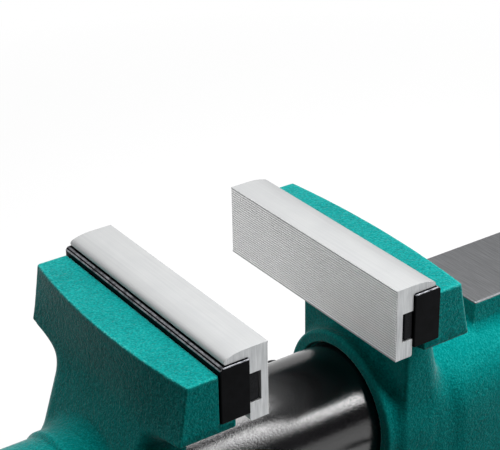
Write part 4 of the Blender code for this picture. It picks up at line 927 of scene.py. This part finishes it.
# ribs are 0.87 mm apart on the real face, too fine to show in the picture, so they are drawn coarser
softJaw = {"half": 62.5, "low": 168.7, "high": 203.6, "wall": 9.2, "flangeBottom": 199.4, "depth": 21.2,
           "flat": 10.7, "tipDrop": 2.0, "slotLow": 177.4, "slotHigh": 191.2, "slotWall": 3.6, "ribPitch": 1.2,
           "ribHeight": 0.25, "ribRoot": 1.0, "ribCrest": 0.54}
j = softJaw
for word, faceY, way in (("fixed", vise["fixedFaceY"], 1), ("moving", vise["movingFaceY"], -1)):
    low, high, wall, depth, under = (j[key] for key in ("low", "high", "wall", "depth", "flangeBottom"))
    outline = [(0.2, low), (wall - 0.6, low), (wall, low + 0.6), (wall, j["slotLow"]), (j["slotWall"], j["slotLow"]),
               (j["slotWall"], j["slotHigh"]), (wall, j["slotHigh"]), (wall, under - 0.8), (wall + 0.8, under),
               (depth - 0.5, under), (depth, under + 0.5), (depth, high - j["tipDrop"] - 0.7),
               (depth - 0.35, high - j["tipDrop"] - 0.15)]
    for k in range(7, -1, -1):
        outline.append((j["flat"] + (depth - j["flat"]) * k / 8, high - j["tipDrop"] * (k / 8) ** 2))
    outline += [(0.2, high), (0, high - 0.2), (0, high - 0.7), (j["ribHeight"], high - 0.9),
                (j["ribHeight"], low + 0.9), (0, low + 0.7), (0, low + 0.2)]
    angle = profilePiece(f"softJaw_{word}", outline, faceY, way, j["half"], aluminium, (), 0.3)
    angle.data.materials.append(sawnAluminium)
    for face in angle.data.polygons:
        if abs(face.normal.x) > 0.8:
            face.material_index = 1
    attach(angle, f"soft_jaw_{word}")
    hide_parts(f"soft_jaw_{word}")
    count = int((high - low - 2.0) / j["ribPitch"]) + 1
    first = (high + low - (count - 1) * j["ribPitch"]) / 2
    rib = [(j["ribHeight"] + 0.15, -j["ribRoot"] / 2), (0.0, -j["ribCrest"] / 2), (0.0, j["ribCrest"] / 2),
           (j["ribHeight"] + 0.15, j["ribRoot"] / 2)]
    rib = [(depth, first + z) for depth, z in rib]
    # the ribs take the lighter copy of the aluminium, painted light
    ribs = profilePiece(f"softJawRibs_{word}", rib, faceY, way, j["half"] - 0.25, ribbedAluminiumPaintedLight)
    repeatInRow(ribs, count, (0, 0, j["ribPitch"]), ribbedAluminiumPaintedLight)
    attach(ribs, f"soft_jaw_{word}")
    below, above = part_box(f"magnet_strip_{word}")
    strip = showMesh(f"magnetStrip_{word}", boxMesh("magnetStrip", below / mm, above / mm), magnet)
    bevelled(strip, 0.5)
    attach(strip, f"soft_jaw_{word}")
    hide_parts(f"magnet_strip_{word}")
print("soft jaws made")

lockBolt = {"radius": 6.0, "headHalfX": 10.0, "headHalfY": 7.0, "headLow": 6.7, "headHigh": 13.7, "threadLow": 49.0,
            "top": 56.4, "threadPitch": 1.75, "threadDepth": 0.75}
b = lockBolt
z = b["threadLow"]
outline = [(0, b["headHigh"] - 1.0), (b["radius"], b["headHigh"] - 1.0), (b["radius"], z)]
while z + b["threadPitch"] < b["top"] - 0.9:
    outline += [(b["radius"] - b["threadDepth"], z + b["threadPitch"] * 0.5),
                (b["radius"], z + b["threadPitch"] - 0.1), (b["radius"], z + b["threadPitch"])]
    z += b["threadPitch"]
outline += [(b["radius"] - 0.9, b["top"]), (0, b["top"])]
bolts = turned("lockBolts", outline, upright, (-vise["lugX"], 0, 0), turnedAlongZ, 64)
head = boxMesh("lockBoltHead", (-vise["lugX"] - b["headHalfX"], -b["headHalfY"], b["headLow"]),
               (-vise["lugX"] + b["headHalfX"], b["headHalfY"], b["headHigh"]))
head = showMesh("lockBoltHead", head, turnedAlongZ)
bevelled(head, 0.8)
form = bmesh.new()
form.from_mesh(bolts.data)
form.from_mesh(head.data)
form.to_mesh(bolts.data)
form.free()
bpy.data.objects.remove(head)
repeatInRow(bolts, 2, (2 * vise["lugX"], 0, 0), turnedAlongZ)
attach(bolts, "fixed_body")
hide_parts("lock_bolt_left", "lock_bolt_right")

lockWasher = {"bore": 6.2, "radius": 12.0, "low": 36.6, "high": 39.1, "edge": 0.4, "boreEdge": 0.3}
w = lockWasher
outline = [(w["bore"] + w["boreEdge"], w["low"]), (w["radius"] - w["edge"], w["low"]),
           (w["radius"], w["low"] + w["edge"]), (w["radius"], w["high"] - w["edge"]),
           (w["radius"] - w["edge"], w["high"]), (w["bore"] + w["boreEdge"], w["high"]),
           (w["bore"], w["high"] - w["boreEdge"]), (w["bore"], w["low"] + w["boreEdge"])]
washers = turned("lockWashers", outline, upright, (-vise["lugX"], 0, 0), turnedAlongZ, 72)
repeatInRow(washers, 2, (2 * vise["lugX"], 0, 0), turnedAlongZ)
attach(washers, "fixed_body")
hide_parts("lock_washer_left", "lock_washer_right")

tubeScrew = {"radius": 5.0, "low": 67.4, "shoulder": 74.0, "tipRadius": 3.0, "top": 78.25, "socket": 2.9,
             "socketTop": 70.4}
c = tubeScrew
outline = [(0, c["low"]), (c["radius"] - 0.6, c["low"]), (c["radius"], c["low"] + 0.6), (c["radius"], c["shoulder"]),
           (c["tipRadius"], c["shoulder"] + 0.6), (c["tipRadius"], c["top"] - 0.55), (c["tipRadius"] - 0.5, c["top"]),
           (0, c["top"])]
place = (0, slideTube["screwY"], 0)
setScrew = turned("slideTubeScrew", outline, upright, place, blackOxide, 48,
                  [rodMesh("socket", c["socket"], c["low"] - 1.4, c["socketTop"], upright, place, 6)])
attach(setScrew, "moving_jaw")
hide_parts("slide_tube_screw")

# pieces inside the vise keep their solids
for name, material in (("lead_nut", bronze), ("nut_key", turnedAlongZ), ("nut_key_bolt_front", blackOxide),
                       ("nut_key_bolt_rear", blackOxide), ("collar_pin", turnedAlongX)):
    for holder in nodes[name].material_slots:
        holder.material = material
print("fasteners made")

# view of the photograph
view = {"place": (498.9, -466.6, 528.1), "yaw": 0.978, "pitch": 0.475, "roll": -0.019, "lens": 112.37}
v = view
forward = Vector((-math.cos(v["pitch"]) * math.sin(v["yaw"]), math.cos(v["pitch"]) * math.cos(v["yaw"]),
                  -math.sin(v["pitch"])))
right = Vector((math.cos(v["yaw"]), math.sin(v["yaw"]), 0))
up = right.cross(forward)
right, up = (math.cos(v["roll"]) * right + math.sin(v["roll"]) * up,
             math.cos(v["roll"]) * up - math.sin(v["roll"]) * right)
cameraData = bpy.data.cameras.new("camera")
cameraData.lens, cameraData.sensor_width, cameraData.sensor_fit = v["lens"], 36.0, "HORIZONTAL"
cameraData.clip_start, cameraData.clip_end = 0.02, 60.0
camera = newObject("camera", cameraData)
camera.matrix_world = Matrix((right, up, -forward)).transposed().to_4x4()
camera.location = Vector(v["place"]) * mm
bpy.context.scene.camera = camera

# the floor's tone is what it reflects onto the vise; seen directly or in a mirror it is white, less so near the vise,
# where its shadow has to show; places and lamp sizes are in metres
studio = {"floorHalf": 20.0, "floorTone": "404040", "whiteNear": 0.62, "whiteFar": 1.0, "nearReach": 0.35,
          "farReach": 0.9, "aim": (0.0, -0.11, 0.13),
          "overheadPlace": (-0.10, 0.16, 1.28), "overheadSize": (0.95, 0.95), "overheadWatts": 18.5,
          "sidePlace": (0.704, 0.481, 0.90), "sideSize": (0.34, 0.62), "sideWatts": 6.9,
          "wallToward": (-0.99, -0.12, 0.0), "wallTone": "f0f0f0", "roomTone": "242424"}
for name in ("overhead", "side"):
    lamp = bpy.data.lights.new(f"{name}Softbox", "AREA")
    lamp.shape, lamp.energy = "RECTANGLE", studio[f"{name}Watts"]
    lamp.size, lamp.size_y = studio[f"{name}Size"]
    box, place = newObject(f"{name}Softbox", lamp), Vector(studio[f"{name}Place"])
    box.location = place
    box.rotation_euler = (Vector(studio["aim"]) - place).to_track_quat("-Z", "Y").to_euler()

floorMaterial, tree, spot = newMaterial("paleStudioFloor")
rays = addNode(tree, "ShaderNodeLightPath").outputs
seen = addNode(tree, "ShaderNodeMath", {0: rays["Is Camera Ray"], 1: rays["Is Glossy Ray"]}, operation="MAXIMUM")
seen = addNode(tree, "ShaderNodeMath", {0: seen.outputs[0], 1: rays["Is Transmission Ray"]}, operation="MAXIMUM")
paper = addNode(tree, "ShaderNodeBsdfDiffuse", {"Color": linearColour(studio["floorTone"])})
palePaper = addNode(tree, "ShaderNodeBsdfDiffuse", {"Color": linearColour("f4f4f4")})  # shows the shadow
glow = addNode(tree, "ShaderNodeEmission", {"Color": (1, 1, 1, 1), "Strength": 1.0})
away = addNode(tree, "ShaderNodeVectorMath", {0: spot, 1: studio["aim"]}, operation="DISTANCE")
share = addNode(tree, "ShaderNodeMapRange", {"Value": away.outputs["Value"], "From Min": studio["nearReach"],
                                             "From Max": studio["farReach"], "To Min": studio["whiteNear"],
                                             "To Max": studio["whiteFar"]})
white = addNode(tree, "ShaderNodeMixShader", {
    0: share.outputs["Result"], 1: palePaper.outputs[0], 2: glow.outputs[0]})
paper = addNode(tree, "ShaderNodeMixShader", {0: seen.outputs[0], 1: paper.outputs[0], 2: white.outputs[0]})
closeMaterial(tree, paper)
half = studio["floorHalf"]
floorMesh = bpy.data.meshes.new("floor")
floorMesh.from_pydata([(-half, -half, 0), (half, -half, 0), (half, half, 0), (-half, half, 0)], [], [(0, 1, 2, 3)])
showMesh("floor", floorMesh, floorMaterial)

world = bpy.data.worlds.new("studio")
bpy.context.scene.world = world
world.use_nodes = True
tree = world.node_tree
tree.nodes.clear()
# a pale wall behind the vise, and a dim room above it and behind the photographer
toward = addNode(tree, "ShaderNodeTexCoord").outputs["Generated"]
wall = addNode(tree, "ShaderNodeVectorMath", {0: toward, 1: studio["wallToward"]}, operation="DOT_PRODUCT")
wall = addNode(tree, "ShaderNodeMapRange", {"Value": wall.outputs["Value"], "From Min": 0.2, "From Max": 0.8})
height = addNode(tree, "ShaderNodeSeparateXYZ", {"Vector": toward})
low = addNode(tree, "ShaderNodeMapRange", {"Value": height.outputs["Z"], "From Min": 0.45, "From Max": 0.90,
                                           "To Min": 1.0, "To Max": 0.0})
pale = addNode(tree, "ShaderNodeMath", {0: wall.outputs["Result"], 1: low.outputs["Result"]}, operation="MULTIPLY")
tone = ramp(tree, pale.outputs[0], [(0.0, studio["roomTone"]), (1.0, studio["wallTone"])])
sky = addNode(tree, "ShaderNodeBackground", {"Color": tone.outputs["Color"], "Strength": 1.0})
addNode(tree, "ShaderNodeOutputWorld", {"Surface": sky.outputs[0]})
bpy.context.scene.view_settings.view_transform = "Standard"
print("studio made")
